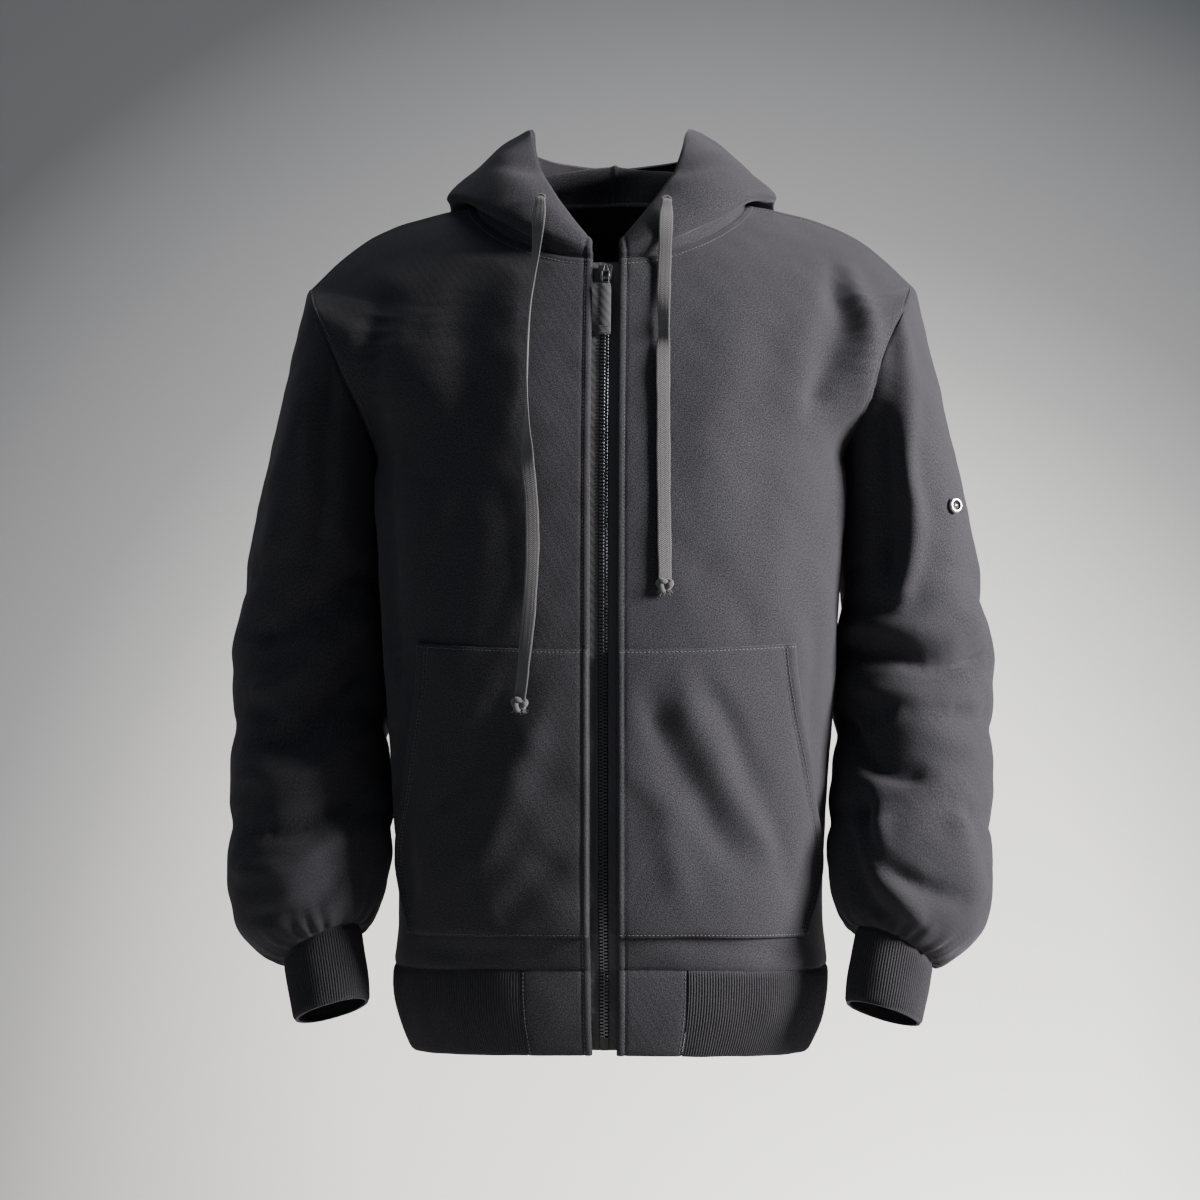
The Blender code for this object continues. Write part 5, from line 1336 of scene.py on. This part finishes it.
def knot(name, place, seed):
    """An overhand knot pulled tight: a flat strand that crosses itself three times, yarn ends below."""
    random = np.random.default_rng(seed)
    t = np.linspace(0, math.tau, 91)[:-1]
    loop_x = np.sin(t) + 2 * np.sin(2 * t)
    loop_z = np.cos(t) - 2 * np.cos(2 * t)
    loop = np.stack([loop_x, -np.sin(3 * t) * 0.9, loop_z], axis=1)
    loop *= np.array((0.0019, 0.0018, 0.0015))
    loop += 0.0003 * random.normal(size=3) * np.sin(t)[:, None]
    ahead = np.roll(loop, -1, axis=0) - np.roll(loop, 1, axis=0)
    ahead /= np.linalg.norm(ahead, axis=1, keepdims=True)
    side = np.cross(ahead, (0.0, 1.0, 0.0))
    side /= np.linalg.norm(side, axis=1, keepdims=True)
    up = np.cross(side, ahead)
    a = np.linspace(0, math.tau, 11)[:-1]
    grid = (
        loop[:, None]
        + side[:, None] * (np.cos(a) * 0.0024)[None, :, None]
        + up[:, None] * (np.sin(a) * 0.0014)[None, :, None]
    )
    count = len(a)
    faces = [
        [i * count + j, i * count + (j + 1) % count, i_next * count + (j + 1) % count, i_next * count + j]
        for i, i_next in zip(range(90), [*range(1, 90), 0])
        for j in range(count)
    ]
    points = grid.reshape(-1, 3).tolist()
    for _ in range(46):
        spread = random.uniform(-1, 1)
        root = np.array((spread * 0.0042, random.uniform(-0.001, 0.001), -0.0035 - random.uniform(0, 0.001)))
        bend = np.array((spread * 0.0028, random.uniform(-0.0012, 0.0006), -random.uniform(0.0012, 0.0042)))
        curl = np.array((random.normal() * 0.0012, random.normal() * 0.0004, random.normal() * 0.0008))
        first = len(points)
        for k, size in enumerate((0.00042, 0.00036, 0.00028, 0.00012)):
            spot = root + bend * k / 3 + curl * (k / 3) ** 2
            points += [tuple(spot + np.array((math.cos(b), math.sin(b), 0)) * size) for b in (0, 2.1, 4.2)]
        for k in range(3):
            for j in range(3):
                n = (j + 1) % 3
                low = first + 3 * k
                faces.append([low + j, low + n, low + 3 + n, low + 3 + j])
        faces += [[first + 2, first + 1, first], [first + 9, first + 10, first + 11]]
    mesh = bpy.data.meshes.new(name)
    mesh.from_pydata((np.array(points) + place).tolist(), [], faces)
    mesh.shade_smooth()
    mesh.materials.append(braid)
    made = bpy.data.objects.new(name, mesh)
    bpy.context.scene.collection.objects.link(made)
    bpy.context.view_layer.objects.active = made
    bpy.ops.object.select_all(action="DESELECT")
    made.select_set(True)
    bpy.ops.object.mode_set(mode="EDIT")
    bpy.ops.mesh.select_all(action="SELECT")
    bpy.ops.mesh.normals_make_consistent(inside=False)
    bpy.ops.object.mode_set(mode="OBJECT")
    return made


def eyelet(name, place, facing):
    """A small stitched hole: thread wound round its edge."""
    facing = Vector(facing).normalized()
    turn = facing.to_track_quat("Z", "Y").to_matrix()
    frames = []
    for a in np.linspace(0, math.tau, 27)[:-1]:
        out = np.array(turn @ Vector((math.cos(a), math.sin(a), 0)))
        side = np.cross(np.array(facing), out)
        axes = np.stack([out * 0.0019, side * 0.00050, np.array(facing) * 0.00050])
        frames.append((np.array(place) + out * 0.0036, axes))
    return joined_copies(name, BEAD_POINTS, BEAD_FACES, frames, black_thread)


for side_name, table, side in (("left", CORD_LEFT, 1), ("right", CORD_RIGHT, -1)):
    route, turns = cord_route(table, side)
    hole = route[0] + np.array((0.0, CORD_DEPTH / 2 + 0.0016, 0.0035))
    in_hole = hole + np.array((0, 0.0015, 0.0004))
    out_of_hole = (hole + route[0]) / 2 + np.array((0, -0.0016, 0.0010))
    route = np.concatenate([[in_hole, out_of_hole], route[1:]])
    turns = np.concatenate([turns[:1], turns])[: len(route)]
    cord_mesh, centre = flat_cord(f"drawcord_{side_name}_braid", route, turns)
    end = centre[-1]
    tied = knot(f"knot_{side_name}_tied", end + np.array((0.0, -0.0008, -0.0044)), 5 if side > 0 else 8)
    eyelet(f"cord_hole_{side_name}", hole, (0.12 * side, -0.9, 0.42))
    for made, node in ((cord_mesh, f"drawcord_{side_name}"), (tied, f"knot_{side_name}")):
        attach(made, "garment")
        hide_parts(node)

# ---------------------------------------------------------------- Sleeve button
# A bright metal ring snap on the wearer's left upper sleeve: a raised turned rim and a dark sunk middle with
# a small cross in it.
BUTTON_RADIUS = 0.0066
BUTTON_HEIGHT = 0.0030
BUTTON_PLACE = (0.292, -0.045, -0.250)
BUTTON_TURN = 0.35
arm = FACES["sleeve_left"]
nearest = np.linalg.norm(arm - np.array(BUTTON_PLACE), axis=2).argmin()
button_row, button_column = np.unravel_index(nearest, arm.shape[:2])
button_point = arm[button_row, button_column]
button_facing = NORMALS["sleeve_left"][button_row, button_column]
button_turned = Vector(button_facing * (1 - BUTTON_TURN) + np.array((0, -1, 0)) * BUTTON_TURN)
button_axes = button_turned.to_track_quat("Z", "Y").to_matrix().to_4x4()
button_place = Matrix.Translation(button_point + button_facing * 0.0026) @ button_axes
bright_metal, _, _ = new_material("bright_nickel", "#b9b9ba", 0.28, 1.0)
dark_metal, _, _ = new_material("blackened_metal", "#1c1c1d", 0.5, 0.6)
button_profile = [
    # radius and height as shares of the button's own
    (0.0, 0.52), (0.46, 0.52), (0.50, 0.60), (0.56, 0.90), (0.63, 1.00), (0.78, 1.02),
    (0.90, 0.94), (0.97, 0.72), (1.0, 0.42), (0.96, 0.0), (0.0, 0.0),
]
button_turns = 48
ring_points_list = [
    (r * BUTTON_RADIUS * math.cos(a), r * BUTTON_RADIUS * math.sin(a), h * BUTTON_HEIGHT)
    for r, h in button_profile[1:-1]
    for a in np.linspace(0, math.tau, button_turns + 1)[:-1]
]
levels = len(button_profile) - 2
button_faces = [
    [low + j, low + (j + 1) % button_turns, high + (j + 1) % button_turns, high + j]
    for low, high in ((i * button_turns, (i + 1) * button_turns) for i in range(levels - 1))
    for j in range(button_turns)
]
button_faces = flip_faces(button_faces)
button_top = [(levels - 1) * button_turns + j for j in range(button_turns)]
button_faces += [list(range(button_turns)), button_top[::-1]]
button_mesh = bpy.data.meshes.new("sleeve_button_ring")
button_mesh.from_pydata(ring_points_list, [], button_faces)
button_mesh.shade_smooth()
button_mesh.set_sharp_from_angle(angle=math.radians(50))
button_mesh.materials.append(bright_metal)
button_mesh.materials.append(dark_metal)
for polygon in button_mesh.polygons:
    away = math.hypot(polygon.center.x, polygon.center.y)
    if polygon.center.z > BUTTON_HEIGHT * 0.5 and away < BUTTON_RADIUS * 0.53:
        polygon.material_index = 1
button_mesh.transform(button_place)
button = bpy.data.objects.new("sleeve_button_ring", button_mesh)
bpy.context.scene.collection.objects.link(button)
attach(button, "garment")
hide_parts("sleeve_button")
cross_frames = []
for a in (0.3, 0.3 + math.pi / 2):
    axis = np.array(button_place.to_3x3() @ Vector((math.cos(a), math.sin(a), 0)))
    other = np.array(button_place.to_3x3() @ Vector((-math.sin(a), math.cos(a), 0)))
    up = np.array(button_place.to_3x3() @ Vector((0, 0, 1)))
    spot = np.array(button_place @ Vector((0, 0, BUTTON_HEIGHT * 0.60)))
    cross_frames.append((spot, np.stack([axis * 0.0054, other * 0.00042, up * 0.00042])))
joined_copies("sleeve_button_cross", BEAD_POINTS, BEAD_FACES, cross_frames, bright_metal)
